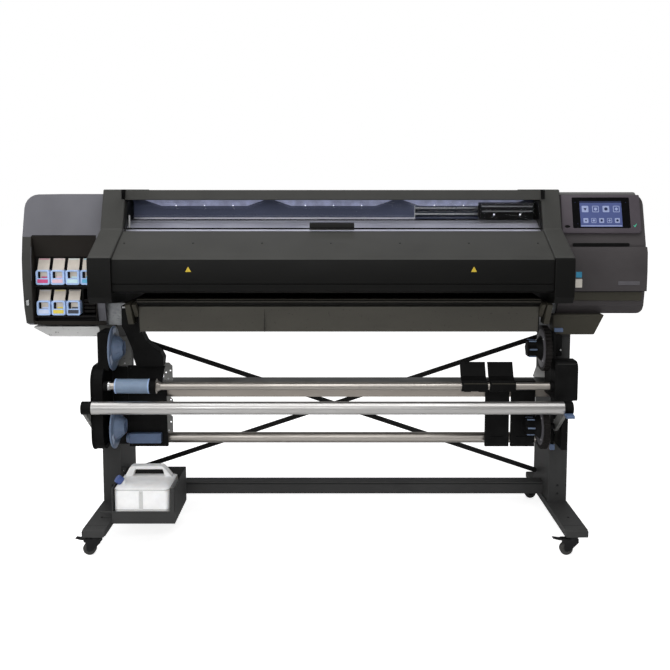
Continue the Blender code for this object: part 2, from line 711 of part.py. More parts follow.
def make_cradle_and_guides():
    """The fixed plate at the left of the beam, and the media guides that slide along the beam and the bar."""
    front, back = -0.0565, BEAM[0][0] - GAP
    shape = [(-0.862, 0.349), (-0.700, 0.349), (-0.703, 0.600), (-0.722, 0.622), (-0.716, 0.650)]
    shape += [(-0.706, 0.692), (-0.862, 0.692)]
    place("reel_cradle", prism(shape, "y", front, back), "black_plastic")

    top = BEAM[1][1] + GAP
    for name, low, high in (("guide_plate_a", 0.6285, 0.7280), ("guide_plate_b", 0.7360, 0.8360)):
        sheet = block((low, front, 0.349), (high, back, top + 0.008))
        plate = place(name, sheet, "black_plastic", (low, 0, RAIL_Z))
        join(plate, block((low, front + 0.001, top), (high, -0.006, top + 0.0078)))

    wall = 0.0055
    inner = BAR_RADIUS + 0.0005
    clip = arc((BAR_Y, BAR_Z), inner + wall, 25, 330, 14) + arc((BAR_Y, BAR_Z), inner, 330, 25, 14)
    blade = bent_sheet([(-0.1950, BAR_Z + inner + 0.001), (-0.1700, 0.6720), (-0.1400, 0.7250)], 0.003)
    for name, low, high in (("guide_clip_a", 0.505, 0.6085), ("guide_clip_b", 0.6165, 0.720)):
        holder = place(name, prism(clip, "x", low, high), "black_plastic", (low, BAR_Y, BAR_Z))
        join(holder, prism(blade, "x", low + 0.0005, high - 0.0005))


def make_air_duct():
    """A curved arm from under the body down to the reel cradle."""
    outline = [
        (-0.868, 0.868),
        (-0.868, 0.952),
        (-0.7785, 0.952),
        (-0.7785, 0.868),
        (-0.786, 0.840),
        (-0.770, 0.806),
        (-0.740, 0.782),
        (-0.712, 0.760),
        (-0.700, 0.736),
        (-0.704, 0.702),
        (-0.812, 0.702),
        (-0.822, 0.735),
        (-0.826, 0.768),
        (-0.840, 0.806),
        (-0.858, 0.850),
    ]
    place("air_duct", prism(outline, "y", -0.118, STAND_OFF), "black_plastic")


# ---- waste bottle ----


def make_waste():
    """A steel tray hooked over the left foot, and the plastic bottle that stands in it."""
    outside = block((TRAY_LEFT, TRAY_FRONT, TRAY_BOTTOM), (TRAY_RIGHT, TRAY_BACK, TRAY_TOP))
    tray = place("waste_tray", outside, "stand_paint")
    inside = (TRAY_LEFT + TRAY_WALL, TRAY_FRONT + TRAY_WALL, TRAY_BOTTOM + TRAY_WALL)
    cut(tray, block(inside, (TRAY_RIGHT - TRAY_WALL, TRAY_BACK - TRAY_WALL, TRAY_TOP + 0.010)))
    mouth = (TRAY_LEFT + TRAY_WALL, TRAY_FRONT - 0.010, TRAY_LIP)
    cut(tray, block(mouth, (TRAY_RIGHT - TRAY_WALL, TRAY_FRONT + 0.020, TRAY_TOP + 0.010)))
    hook_low = (-0.930, TRAY_FRONT + 0.050, FOOT_TOP + GAP)
    join(tray, block(hook_low, (TRAY_LEFT + 0.001, TRAY_BACK - 0.060, FOOT_TOP + 0.0035)))

    base = TRAY_BOTTOM + TRAY_WALL + 0.0005
    low, high = (-0.8755, -0.2830), (-0.6600, -0.0600)
    corner = rounded([low, (high[0], low[1]), high, (low[0], high[1])], 0.016, 3)
    bottle = place("waste_bottle", prism(corner, "z", base, 0.248), "white_plastic", (-0.770, -0.170, base))
    shoulder = [(-0.8650, 0.2440), (-0.8200, 0.2950), (-0.7980, 0.3200), (-0.6980, 0.3200)]
    shoulder += [(-0.6820, 0.3050), (-0.6680, 0.2440)]
    join(bottle, prism(shoulder, "y", -0.215, -0.140))
    roof = [(-0.255, 0.2470), (-0.225, 0.2650), (-0.110, 0.2650), (-0.080, 0.2470)]
    join(bottle, prism(roof, "x", -0.862, -0.672))
    grip = [(-0.8040, 0.2720), (-0.7900, 0.2960), (-0.7060, 0.2960), (-0.6920, 0.2720)]
    cut(bottle, prism(grip, "y", -0.300, -0.050))
    join(bottle, cylinder("z", (-0.842, -0.112, 0), 0.0150, 0.2460, 0.2850, 16))


def main():
    clear_scene()
    make_stand()
    make_casters()
    make_pillar("left_pillar", SPAN_LEFT, PILLAR_LEFT)
    make_pillar("right_pillar", SPAN_RIGHT, PILLAR_RIGHT)
    make_centre_covers()
    make_print_zone()
    make_ink_module()
    make_control_module()
    make_reel_ends()
    make_reel_bars()
    make_hubs()
    make_tension_bar()
    make_cradle_and_guides()
    make_air_duct()
    make_waste()


main()
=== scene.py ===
"""Looks of the wide-format roll printer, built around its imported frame.

Metres, +Z up, with the front at -Y, the ink at -X and the controls at +X.
"""

import json
import math
from collections import namedtuple

import bmesh
import bpy
from mathutils import Matrix, Vector


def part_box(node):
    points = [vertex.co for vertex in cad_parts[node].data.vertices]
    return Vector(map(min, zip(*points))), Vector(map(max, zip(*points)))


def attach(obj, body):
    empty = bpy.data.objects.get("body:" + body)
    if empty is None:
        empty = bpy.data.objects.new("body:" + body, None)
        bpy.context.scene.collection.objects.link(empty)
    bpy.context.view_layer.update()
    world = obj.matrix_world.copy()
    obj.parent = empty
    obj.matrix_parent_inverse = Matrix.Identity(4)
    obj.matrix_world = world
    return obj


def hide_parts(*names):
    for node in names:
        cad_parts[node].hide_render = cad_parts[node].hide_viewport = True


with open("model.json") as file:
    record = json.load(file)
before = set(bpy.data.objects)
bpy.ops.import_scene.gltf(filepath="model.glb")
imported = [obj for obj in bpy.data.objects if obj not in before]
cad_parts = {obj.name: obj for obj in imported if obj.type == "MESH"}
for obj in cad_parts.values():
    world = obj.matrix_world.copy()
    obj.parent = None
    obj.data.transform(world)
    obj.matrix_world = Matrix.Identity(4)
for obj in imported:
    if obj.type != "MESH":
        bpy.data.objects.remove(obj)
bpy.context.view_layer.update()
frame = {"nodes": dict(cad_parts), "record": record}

MM = 0.001
AXES = {"x": 0, "y": 1, "z": 2}
Span = namedtuple("Span", "left front bottom right back top")


def span(node):
    """The six sides of a CAD node's box."""
    low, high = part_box(node)
    return Span(*low, *high)


# ---- materials: helpers ----


def colour(code):
    """An sRGB hex value as the linear RGBA that the shader reads."""
    parts = [int(code[i : i + 2], 16) / 255 for i in (1, 3, 5)]
    linear = [p / 12.92 if p <= 0.04045 else ((p + 0.055) / 1.055) ** 2.4 for p in parts]
    return (*linear, 1.0)


def add_node(tree, kind, settings=None, **links):
    """Adds one node, with its properties, its sockets' values and its links. A _ in a name is a space."""
    node = tree.nodes.new(f"ShaderNode{kind}")
    for key, value in (settings or {}).items():
        if key in node.inputs:
            node.inputs[key].default_value = value
        else:
            setattr(node, key, value)
    for key, source in links.items():
        name = key.replace("_", " ")
        socket = node.inputs[int(key[1:])] if key[1:].isdigit() else node.inputs[name]
        tree.links.new(source, socket)
    return node


def ramp(tree, source, stops):
    """A colour ramp from (place, colour) stops."""
    node = add_node(tree, "ValToRGB", None, Fac=source)
    band = node.color_ramp
    while len(band.elements) < len(stops):
        band.elements.new(0.5)
    for element, (place, value) in zip(band.elements, stops):
        element.position = place
        element.color = value if isinstance(value, tuple) else (value, value, value, 1.0)
    return node.outputs["Color"]


def new_material(name, **sockets):
    """An empty Principled material with those sockets set, as (material, tree, shader)."""
    material = bpy.data.materials.new(name)
    material.use_nodes = True
    tree = material.node_tree
    shader = tree.nodes["Principled BSDF"]
    for key, value in sockets.items():
        shader.inputs[key.replace("_", " ")].default_value = value
    return material, tree, shader


def place_of(tree, stretch=(1.0, 1.0, 1.0)):
    """The point on the surface, in metres, with each axis stretched."""
    point = add_node(tree, "TexCoord").outputs["Object"]
    mapping = add_node(tree, "Mapping", {"Scale": stretch}, Vector=point)
    return mapping.outputs["Vector"]


def noise(tree, vector, size, detail=2.0, roughness=0.55):
    """Noise whose blotches are about size metres across."""
    settings = {"Scale": 1.0 / size, "Detail": detail, "Roughness": roughness}
    return add_node(tree, "TexNoise", settings, Vector=vector).outputs["Fac"]


def mix(tree, factor, first, second):
    """A blend of two colours, each a fixed colour or a socket."""
    node = add_node(tree, "Mix", {"data_type": "RGBA"}, Factor=factor)
    for index, value in ((6, first), (7, second)):
        if isinstance(value, tuple):
            node.inputs[index].default_value = value
        else:
            tree.links.new(value, node.inputs[index])
    return node.outputs[2]


def between(tree, source, low, high):
    """A 0 to 1 value spread over low to high."""
    settings = {"From Min": 0.3, "From Max": 0.7, "To Min": low, "To Max": high}
    return add_node(tree, "MapRange", settings, Value=source).outputs["Result"]


def bump(tree, shader, height, strength, distance):
    """Relief of that depth in metres."""
    settings = {"Strength": strength, "Distance": distance}
    node = add_node(tree, "Bump", settings, Height=height)
    tree.links.new(node.outputs["Normal"], shader.inputs["Normal"])


def edge_wear(tree, width, base, worn, amount):
    """Lightens the sharp edges, where hands and knocks rub the surface."""
    rounded_normal = add_node(tree, "Bevel", {"samples": 4, "Radius": width}).outputs["Normal"]
    flat_normal = add_node(tree, "NewGeometry").outputs["Normal"]
    likeness = add_node(tree, "VectorMath", {"operation": "DOT_PRODUCT"}, i0=rounded_normal, i1=flat_normal)
    settings = {"From Min": 0.995, "From Max": 0.90, "To Min": 0.0, "To Max": amount}
    mask = add_node(tree, "MapRange", settings, Value=likeness.outputs["Value"]).outputs["Result"]
    return mix(tree, mask, base, worn)


# ---- materials: the finishes ----


def moulded_abs(name, base, roughness, grain=1.6 * MM, relief=0.12 * MM, blotch=0.16, spread=0.10):
    """Injection-moulded ABS with a spark-eroded skin: a fine even grain that scatters the light, and a faint
    cloudiness where the skin has been handled."""
    material, tree, shader = new_material(name, IOR=1.53, Specular_IOR_Level=0.10)
    point = place_of(tree)
    cloud = noise(tree, point, blotch, 3.0)
    base_colour = colour(base)
    light = tuple(min(1.0, c * (1 + spread)) for c in base_colour[:3]) + (1.0,)
    dark = tuple(c * (1 - spread) for c in base_colour[:3]) + (1.0,)
    body = mix(tree, between(tree, cloud, 0.0, 1.0), dark, light)
    skin = noise(tree, point, grain, 3.0, 0.65)
    speckle = mix(tree, between(tree, skin, 0.0, 0.12), body, light)
    tree.links.new(speckle, shader.inputs["Base Color"])
    tree.links.new(between(tree, cloud, roughness - 0.05, roughness + 0.06), shader.inputs["Roughness"])
    bump(tree, shader, skin, 0.35, relief)
    return material


def powder_coat(name, base, roughness=0.52):
    """Fine-texture powder coat on steel: an orange-peel skin with a dull, slightly broken shine."""
    material, tree, shader = new_material(name, IOR=1.50, Specular_IOR_Level=0.14)
    point = place_of(tree)
    peel = noise(tree, point, 2.4 * MM, 3.0, 0.6)
    dust = noise(tree, point, 0.22, 4.0, 0.6)
    base_colour = colour(base)
    dusty = tuple(c * 1.25 + 0.004 for c in base_colour[:3]) + (1.0,)
    body = mix(tree, between(tree, dust, 0.0, 0.7), base_colour, dusty)
    worn = edge_wear(tree, 1.2 * MM, body, colour("#6a6a68"), 0.35)
    tree.links.new(worn, shader.inputs["Base Color"])
    tree.links.new(between(tree, peel, roughness - 0.06, roughness + 0.10), shader.inputs["Roughness"])
    bump(tree, shader, peel, 0.5, 0.20 * MM)
    return material


def anodised_tube(name, base, painted_shade_top=False):
    """Extruded and clear-anodised aluminium: soft white shine, with faint drawing lines along its length.

    A face that looks up can be painted dark grey: painted shade on the top face.
    """
    material, tree, shader = new_material(name, Metallic=1.0)
    lines = noise(tree, place_of(tree, (0.004, 1.0, 1.0)), 1.5 * MM, 2.0, 0.6)
    smudge = noise(tree, place_of(tree, (0.35, 1.0, 1.0)), 0.060, 3.0)
    base_colour = colour(base)
    light = tuple(min(1.0, c * 1.12) for c in base_colour[:3]) + (1.0,)
    body = mix(tree, between(tree, lines, 0.0, 1.0), base_colour, light)
    body = mix(tree, between(tree, smudge, 0.0, 0.20), body, colour("#9c968f"))
    if painted_shade_top:
        # painted shade: faces whose normal points up are mixed towards dark grey, as if in shadow
        normal = add_node(tree, "NewGeometry").outputs["Normal"]
        upward = add_node(tree, "SeparateXYZ", None, Vector=normal).outputs["Z"]
        body = mix(tree, ramp(tree, upward, [(0.80, 0.0), (0.90, 1.0)]), body, colour("#4a4a49"))
    tree.links.new(body, shader.inputs["Base Color"])
    tree.links.new(between(tree, smudge, 0.30, 0.42), shader.inputs["Roughness"])
    bump(tree, shader, lines, 0.08, 0.02 * MM)
    return material


def brushed_steel(name, base, roughness=0.28, along=(0.010, 1.0, 1.0)):
    """Stainless sheet brushed along its length: long fine streaks that stretch each highlight."""
    material, tree, shader = new_material(name, Metallic=1.0)
    streak = noise(tree, place_of(tree, along), 1.2 * MM, 4.0, 0.75)
    cloud = noise(tree, place_of(tree), 0.15, 2.0)
    base_colour = colour(base)
    dark = tuple(c * 0.88 for c in base_colour[:3]) + (1.0,)
    body = mix(tree, between(tree, streak, 0.0, 1.0), dark, base_colour)
    tree.links.new(body, shader.inputs["Base Color"])
    tree.links.new(between(tree, cloud, roughness - 0.05, roughness + 0.08), shader.inputs["Roughness"])
    bump(tree, shader, streak, 0.06, 0.02 * MM)
    return material


def galvanised_sheet():
    """Hot-dip galvanised sheet: dull grey with the leaf-shaped spangle of zinc crystals."""
    material, tree, shader = new_material("galvanised_sheet_spangled", Metallic=0.85)
    point = place_of(tree)
    spangle = add_node(tree, "TexVoronoi", {"Scale": 1.0 / (9 * MM)}, Vector=point).outputs["Color"]
    facet = add_node(tree, "SeparateColor", None, Color=spangle).outputs["Red"]
    body = mix(tree, facet, colour("#8f9194"), colour("#a9abad"))
    tree.links.new(body, shader.inputs["Base Color"])
    tree.links.new(between(tree, facet, 0.38, 0.50), shader.inputs["Roughness"])
    bump(tree, shader, noise(tree, point, 4 * MM), 0.2, 0.08 * MM)
    return material


def satin_enamel(name, base, roughness=0.38):
    """Stoved satin enamel on sheet steel: a smooth skin, slow waves, finger marks and a few rubbed spots."""
    material, tree, shader = new_material(name, IOR=1.50, Specular_IOR_Level=0.30, Metallic=0.10)
    point = place_of(tree)
    waves = noise(tree, place_of(tree, (0.4, 1.0, 1.0)), 0.20, 3.0)
    marks = noise(tree, point, 0.018, 4.0, 0.7)
    base_colour = colour(base)
    light = tuple(c * 1.35 for c in base_colour[:3]) + (1.0,)
    body = mix(tree, between(tree, waves, 0.0, 1.0), base_colour, light)
    spots = ramp(tree, noise(tree, point, 0.009, 1.0), [(0.70, 0.0), (0.74, 0.6)])
    body = mix(tree, spots, body, colour("#24221d"))
    tree.links.new(body, shader.inputs["Base Color"])
    tree.links.new(between(tree, marks, roughness - 0.05, roughness + 0.10), shader.inputs["Roughness"])
    bump(tree, shader, waves, 0.15, 0.6 * MM)
    return material


def glass_filled_nylon(name, base, roughness=0.45):
    """Glass-filled nylon: dense and black, with a faint swirl of fibres at the surface."""
    material, tree, shader = new_material(name, IOR=1.53, Specular_IOR_Level=0.08)
    point = place_of(tree)
    fibre = noise(tree, place_of(tree, (1.0, 0.35, 1.0)), 2.2 * MM, 3.0, 0.7)
    cloud = noise(tree, point, 0.05, 2.0)
    base_colour = colour(base)
    light = tuple(c * 1.5 + 0.002 for c in base_colour[:3]) + (1.0,)
    body = mix(tree, between(tree, cloud, 0.0, 0.8), base_colour, light)
    tree.links.new(edge_wear(tree, 0.8 * MM, body, colour("#4c4c4e"), 0.30), shader.inputs["Base Color"])
    tree.links.new(between(tree, fibre, roughness - 0.06, roughness + 0.10), shader.inputs["Roughness"])
    bump(tree, shader, fibre, 0.35, 0.10 * MM)
    return material


def acetal(name, base, roughness=0.36):
    """Dyed acetal, as on parts that the user moves: waxy, smooth and slightly see-through at thin edges."""
    material, tree, shader = new_material(name, IOR=1.48, Specular_IOR_Level=0.35, Subsurface_Weight=0.05)
    point = place_of(tree)
    cloud = noise(tree, point, 0.03, 3.0)
    base_colour = colour(base)
    dark = tuple(c * 0.84 for c in base_colour[:3]) + (1.0,)
    body = mix(tree, between(tree, cloud, 0.0, 1.0), dark, base_colour)
    tree.links.new(body, shader.inputs["Base Color"])
    tree.links.new(between(tree, cloud, roughness - 0.04, roughness + 0.08), shader.inputs["Roughness"])
    bump(tree, shader, noise(tree, point, 3 * MM), 0.15, 0.10 * MM)
    return material


def tyre_rubber(name, base="#2b2b2c", roughness=0.72):
    """Cast polyurethane or rubber tread: dull, dusty where it meets the floor."""
    material, tree, shader = new_material(name, IOR=1.50, Specular_IOR_Level=0.3)
    point = place_of(tree)
    dust = noise(tree, point, 0.008, 4.0, 0.7)
    body = mix(tree, between(tree, dust, 0.0, 0.5), colour(base), colour("#5c5a56"))
    tree.links.new(body, shader.inputs["Base Color"])
    tree.links.new(between(tree, dust, roughness - 0.08, roughness + 0.10), shader.inputs["Roughness"])
    bump(tree, shader, dust, 0.4, 0.15 * MM)
    return material


def blown_polyethylene():
    """Blow-moulded natural polyethylene: milky white with soft shine and a faint orange peel."""
    material, tree, shader = new_material("polyethylene_milk_white", IOR=1.51, Subsurface_Weight=0.35)
    shader.inputs["Subsurface Radius"].default_value = (0.012, 0.011, 0.010)
    shader.inputs["Subsurface Scale"].default_value = 1.0
    point = place_of(tree)
    cloud = noise(tree, point, 0.035, 3.0)
    body = mix(tree, between(tree, cloud, 0.0, 1.0), colour("#f1f1f1"), colour("#fafafa"))
    tree.links.new(body, shader.inputs["Base Color"])
    tree.links.new(between(tree, cloud, 0.34, 0.46), shader.inputs["Roughness"])
    bump(tree, shader, noise(tree, point, 4 * MM, 2.0), 0.12, 0.12 * MM)
    return material


def tinted_polycarbonate():
    """Clear polycarbonate with a light smoke tint: nearly invisible, but for its shine and its edges."""
    material, tree, shader = new_material(
        "polycarbonate_smoke", IOR=1.20, Transmission_Weight=1.0, Alpha=0.10, Roughness=0.03
    )
    film = noise(tree, place_of(tree, (0.3, 1.0, 1.0)), 0.12, 3.0)
    body = mix(tree, between(tree, film, 0.0, 1.0), colour("#9a9fae"), colour("#aeb2bd"))
    tree.links.new(body, shader.inputs["Base Color"])
    tree.links.new(between(tree, film, 0.02, 0.06), shader.inputs["Roughness"])
    return material


def lamp_diffuser(name, base, strength):
    """Frosted acrylic in front of a row of lamps: even light with soft brighter patches."""
    material, tree, shader = new_material(name, IOR=1.49, Roughness=0.4)
    patches = noise(tree, place_of(tree), 0.030, 1.0)
    bright = tuple(min(1.0, c * 1.5) for c in colour(base)[:3]) + (1.0,)
    glow = mix(tree, between(tree, patches, 0.0, 1.0), colour(base), bright)
    tree.links.new(glow, shader.inputs["Base Color"])
    tree.links.new(glow, shader.inputs["Emission Color"])
    shader.inputs["Emission Strength"].default_value = strength
    return material


def touch_glass(name="cover_glass_black"):
    """Black-backed cover glass over the display: deep, with sharp reflections and faint finger marks."""
    material, tree, shader = new_material(name, IOR=1.52, Specular_IOR_Level=0.12)
    marks = noise(tree, place_of(tree), 0.014, 4.0, 0.65)
    tree.links.new(
        mix(tree, between(tree, marks, 0.0, 1.0), colour("#040405"), colour("#08080a")),
        shader.inputs["Base Color"],
    )
    tree.links.new(between(tree, marks, 0.10, 0.24), shader.inputs["Roughness"])
    return material


def lit_display(name, base, strength, depth=0.12):
    """A lit area of the display, with the faint unevenness of its backlight."""
    material, tree, shader = new_material(name, IOR=1.52, Roughness=0.25)
    cloud = noise(tree, place_of(tree), 0.045, 2.0)
    base_colour = colour(base)
    dim = tuple(c * (1 - depth) for c in base_colour[:3]) + (1.0,)
    glow = mix(tree, between(tree, cloud, 0.0, 1.0), dim, base_colour)
    tree.links.new(glow, shader.inputs["Base Color"])
    tree.links.new(glow, shader.inputs["Emission Color"])
    shader.inputs["Emission Strength"].default_value = strength
    return material


def printed_card(name, base, roughness=0.62):
    """Uncoated card or a matt printed label: paper fibre and a slightly uneven tone."""
    material, tree, shader = new_material(name, IOR=1.45, Specular_IOR_Level=0.25)
    point = place_of(tree)
    fibre = noise(tree, point, 1.6 * MM, 4.0, 0.7)
    cloud = noise(tree, point, 0.020, 2.0)
    base_colour = colour(base)
    dark = tuple(c * 0.86 for c in base_colour[:3]) + (1.0,)
    body = mix(tree, between(tree, cloud, 0.0, 0.8), base_colour, dark)
    body = mix(tree, between(tree, fibre, 0.0, 0.25), body, dark)
    tree.links.new(body, shader.inputs["Base Color"])
    tree.links.new(between(tree, fibre, roughness - 0.06, roughness + 0.08), shader.inputs["Roughness"])
    bump(tree, shader, fibre, 0.25, 0.05 * MM)
    return material


def zinc_plate():
    """Bright zinc plate on steel screws and brackets: pale grey with a cool, slightly mottled shine."""
    material, tree, shader = new_material("zinc_plated_steel", Metallic=1.0)
    mottle = noise(tree, place_of(tree), 0.006, 3.0)
    body = mix(tree, between(tree, mottle, 0.0, 1.0), colour("#b9bbbd"), colour("#d8d9d8"))
    tree.links.new(body, shader.inputs["Base Color"])
    tree.links.new(between(tree, mottle, 0.26, 0.42), shader.inputs["Roughness"])
    bump(tree, shader, mottle, 0.15, 0.05 * MM)
    return material


MATERIALS = {
    "stand": powder_coat("powder_coat_charcoal", "#363636"),
    "brace": powder_coat("powder_coat_black", "#161616", 0.48),
    "cover": moulded_abs("abs_warm_charcoal", "#393937", 0.50),
    "black_cover": moulded_abs("abs_black", "#0a0a09", 0.46),
    "ink_cover": moulded_abs("abs_slate_grey", "#5f5f64", 0.46),
    "control_cover": moulded_abs("abs_mid_charcoal", "#413e3f", 0.46),
    "under_cover": moulded_abs("abs_olive_charcoal", "#3c3a33", 0.50),
    "pale_cover": moulded_abs("abs_pale_grey", "#a9a9a8", 0.50),
    "bay": moulded_abs("abs_brown_black", "#221f1c", 0.60),
    "rack": glass_filled_nylon("nylon_rack_black", "#151414", 0.55),
    "apron": satin_enamel("enamel_olive_grey", "#3c3a34", 0.40),
    "galvanised": galvanised_sheet(),
    "platen": brushed_steel("stainless_platen_brushed", "#c4c4ca", 0.46),
    "beam_cover": moulded_abs("abs_slate_blue", "#4b5062", 0.36, blotch=0.5),
    "aluminium": anodised_tube("anodised_aluminium_clear", "#b2b1b0"),
    "warm_aluminium": anodised_tube("anodised_aluminium_warm", "#aaa59f"),
    # the beam's upward faces are painted darker: painted shade
    "beam": anodised_tube("anodised_aluminium_beam", "#9a938c", painted_shade_top=True),
    "steel": satin_enamel("lacquered_steel_grey", "#666664", 0.42),
    "tray_grey": satin_enamel("painted_steel_light_grey", "#b5b5b4", 0.45),
    "crown": moulded_abs("abs_pale_charcoal", "#5e5e5d", 0.44),
    "mark": acetal("acetal_pale_mark", "#b9c4dc", 0.40),
    "nylon": glass_filled_nylon("nylon_black", "#090909", 0.50),
    "gear": glass_filled_nylon("nylon_gear_black", "#141211", 0.50),
    "blue": acetal("acetal_blue_grey", "#63728a"),
    "sleeve_blue": acetal("acetal_pale_blue_grey", "#8092aa"),
    "cap_blue": acetal("polypropylene_cap_blue", "#4c5f98"),
    "deep_blue": acetal("acetal_deep_blue", "#566785"),
    "frame_blue": acetal("polypropylene_pale_blue", "#a9c3ec", 0.34),
    "zinc": zinc_plate(),
    "screw": glass_filled_nylon("black_oxide_screw", "#1a1a1a", 0.35),
    "tread": tyre_rubber("polyurethane_tread_grey"),
    "roller": tyre_rubber("nitrile_roller_black", "#1d1d1d", 0.60),
    "fork": glass_filled_nylon("nylon_caster_black", "#1b1b1c", 0.42),
    "bottle": blown_polyethylene(),
    "glass": tinted_polycarbonate(),
    "lamp": lamp_diffuser("acrylic_diffuser_lit", "#7d8199", 0.50),
    "spark": lamp_diffuser("acrylic_lens_lit", "#dfe4ff", 1.2),
    "bezel": touch_glass(),
    "screen": lit_display("display_blue_field", "#434e7c", 0.14),
    "symbol": lit_display("display_pale_symbol", "#8a94b8", 0.16),
    "symbol_dark": lit_display("display_dark_symbol", "#1b2344", 0.08),
    "panel": moulded_abs("abs_panel_charcoal", "#4b464b", 0.40),
    "gap": glass_filled_nylon("shadow_gap_black", "#050505", 0.60),
    "card": printed_card("card_cream", "#c4bcb2"),
    "teal": printed_card("ink_teal", "#3fb08e"),
    "yellow": printed_card("vinyl_yellow", "#c2a838"),
    "sticker_blue": printed_card("vinyl_sky_blue", "#3a86a8"),
    "sticker_white": printed_card("vinyl_off_white", "#c9c4bb"),
    "name_plate": printed_card("vinyl_plate_grey", "#58565a", 0.40),
}


# ---- outlines ----


def arc(centre, radius, start, end, steps):
    """Points of an arc, with angles in degrees."""
    angles = [math.radians(start + (end - start) * i / steps) for i in range(steps + 1)]
    return [(centre[0] + radius * math.cos(a), centre[1] + radius * math.sin(a)) for a in angles]


def rectangle(low, high):
    return [low, (high[0], low[1]), high, (low[0], high[1])]


def rounded(corners, radii, steps=6):
    """A closed outline with each corner rounded by its radius, or left sharp where that is 0."""
    outline = []
    for i, corner in enumerate(corners):
        radius = radii[i] if isinstance(radii, (list, tuple)) else radii
        if not radius:
            outline.append(corner)
            continue
        here = Vector(corner)
        back = (Vector(corners[i - 1]) - here).normalized()
        ahead = (Vector(corners[(i + 1) % len(corners)]) - here).normalized()
        half = back.angle(ahead) / 2
        centre = here + (back + ahead).normalized() * radius / math.sin(half)
        first = here + back * radius / math.tan(half) - centre
        turn = first.angle_signed(here + ahead * radius / math.tan(half) - centre)
        for k in range(steps + 1):
            outline.append(tuple(centre + Matrix.Rotation(-turn * k / steps, 2) @ first))
    return outline


def shifted_corner(before, corner, after, left):
    """Where the two edges at a corner meet once each is moved to its left by that distance."""
    here = Vector(corner)
    into, out = (here - Vector(before)).normalized(), (Vector(after) - here).normalized()
    bisector = Vector((-into.y - out.y, into.x + out.x)).normalized()
    return tuple(here + bisector * left / max(0.2, bisector.dot(Vector((-into.y, into.x)))))


def inset(outline, distance):
    """A closed outline moved inwards, or outwards where distance is negative."""
    area = sum(a[0] * b[1] - b[0] * a[1] for a, b in zip(outline, outline[1:] + outline[:1]))
    inward = math.copysign(1, area) * distance
    count = len(outline)
    return [
        shifted_corner(outline[i - 1], p, outline[(i + 1) % count], inward) for i, p in enumerate(outline)
    ]


def bent_sheet(points, thickness):
    """The outline of a sheet bent along points, with its thickness to the left of the way they run."""
    before = tuple(2 * Vector(points[0]) - Vector(points[1]))
    after = tuple(2 * Vector(points[-1]) - Vector(points[-2]))
    run = [before, *points, after]
    inner = [shifted_corner(run[i], run[i + 1], run[i + 2], thickness) for i in range(len(points))]
    return [*points, *reversed(inner)]


def smooth_run(points, radii, steps=5):
    """An open run of points with its inner corners rounded."""
    closed = rounded(points, [0, *radii, 0], steps)
    return closed


# ---- solids: each returns a bmesh in the row frame ----


def prism(outline, axis, start, end):
    """An outline pushed along an axis. Its points are the other two axes in X, Y, Z order."""
    shape = bmesh.new()
    along = AXES[axis]
    points = []
    for first, second in outline:
        point = [first, second]
        point.insert(along, start)
        points.append(shape.verts.new(point))
    face = shape.faces.new(points)
    pushed = bmesh.ops.extrude_face_region(shape, geom=[face])
    step = Vector((0, 0, 0))
    step[along] = end - start
    moved = [v for v in pushed["geom"] if isinstance(v, bmesh.types.BMVert)]
    bmesh.ops.translate(shape, verts=moved, vec=step)
    bmesh.ops.recalc_face_normals(shape, faces=shape.faces)
    return shape


def block(low, high):
    return prism(rectangle(low[:2], high[:2]), "z", low[2], high[2])


def turned(profile, axis, centre, steps=40):
    """A profile of (along, radius) points turned about an axis: a ring where it never meets the axis."""
    shape = bmesh.new()
    along = AXES[axis]
    others = [k for k in range(3) if k != along]
    rings = []
    for distance, radius in profile:
        ring = []
        for i in range(steps if radius else 1):
            angle = 2 * math.pi * i / steps
            point = list(centre)
            point[along] += distance
            point[others[0]] += radius * math.cos(angle)
            point[others[1]] += radius * math.sin(angle)
            ring.append(shape.verts.new(point))
        rings.append(ring)
    hollow = all(radius for _, radius in profile)
    for a, b in zip(rings, rings[1:] + rings[:1] if hollow else rings[1:]):
        for i in range(steps):
            corners = [a[i % len(a)], a[(i + 1) % len(a)], b[(i + 1) % len(b)], b[i % len(b)]]
            if len(a) + len(b) > 2:
                shape.faces.new(list(dict.fromkeys(corners)))
    bmesh.ops.recalc_face_normals(shape, faces=shape.faces)
    return shape


def rod(axis, centre, radius, start, end, chamfer=0.4 * MM, steps=24):
    """A round bar with broken edges, whose ends are start and end on its axis."""
    middle = list(centre)
    middle[AXES[axis]] = 0.0
    profile = [(start, 0), (start, radius - chamfer), (start + chamfer, radius)]
    profile += [(end - chamfer, radius), (end, radius - chamfer), (end, 0)]
    return turned(profile, axis, middle, steps)


def loft(rings, close_ends=True):
    """A skin over rings of points that all have the same count."""
    shape = bmesh.new()
    made = [[shape.verts.new(point) for point in ring] for ring in rings]
    for a, b in zip(made, made[1:]):
        for i in range(len(a)):
            j = (i + 1) % len(a)
            shape.faces.new([a[i], a[j], b[j], b[i]])
    if close_ends:
        shape.faces.new(made[0])
        shape.faces.new(made[-1])
    bmesh.ops.recalc_face_normals(shape, faces=shape.faces)
    return shape


def merged(*shapes):
    """Several solids as one mesh."""
    whole = bmesh.new()
    for shape in shapes:
        mesh = bpy.data.meshes.new("part")
        shape.to_mesh(mesh)
        shape.free()
        whole.from_mesh(mesh)
        bpy.data.meshes.remove(mesh)
    return whole


def moved(shape, matrix):
    bmesh.ops.transform(shape, matrix=matrix, verts=shape.verts)
    return shape


# ---- pieces ----


def soften(obj, width, segments=2, angle=32):
    """Breaks the sharp edges and lets them catch the light."""
    step = obj.modifiers.new("soften", "BEVEL")
    step.width = width
    step.segments = segments
    step.limit_method = "ANGLE"
    step.angle_limit = math.radians(angle)
    step.harden_normals = True
    return obj


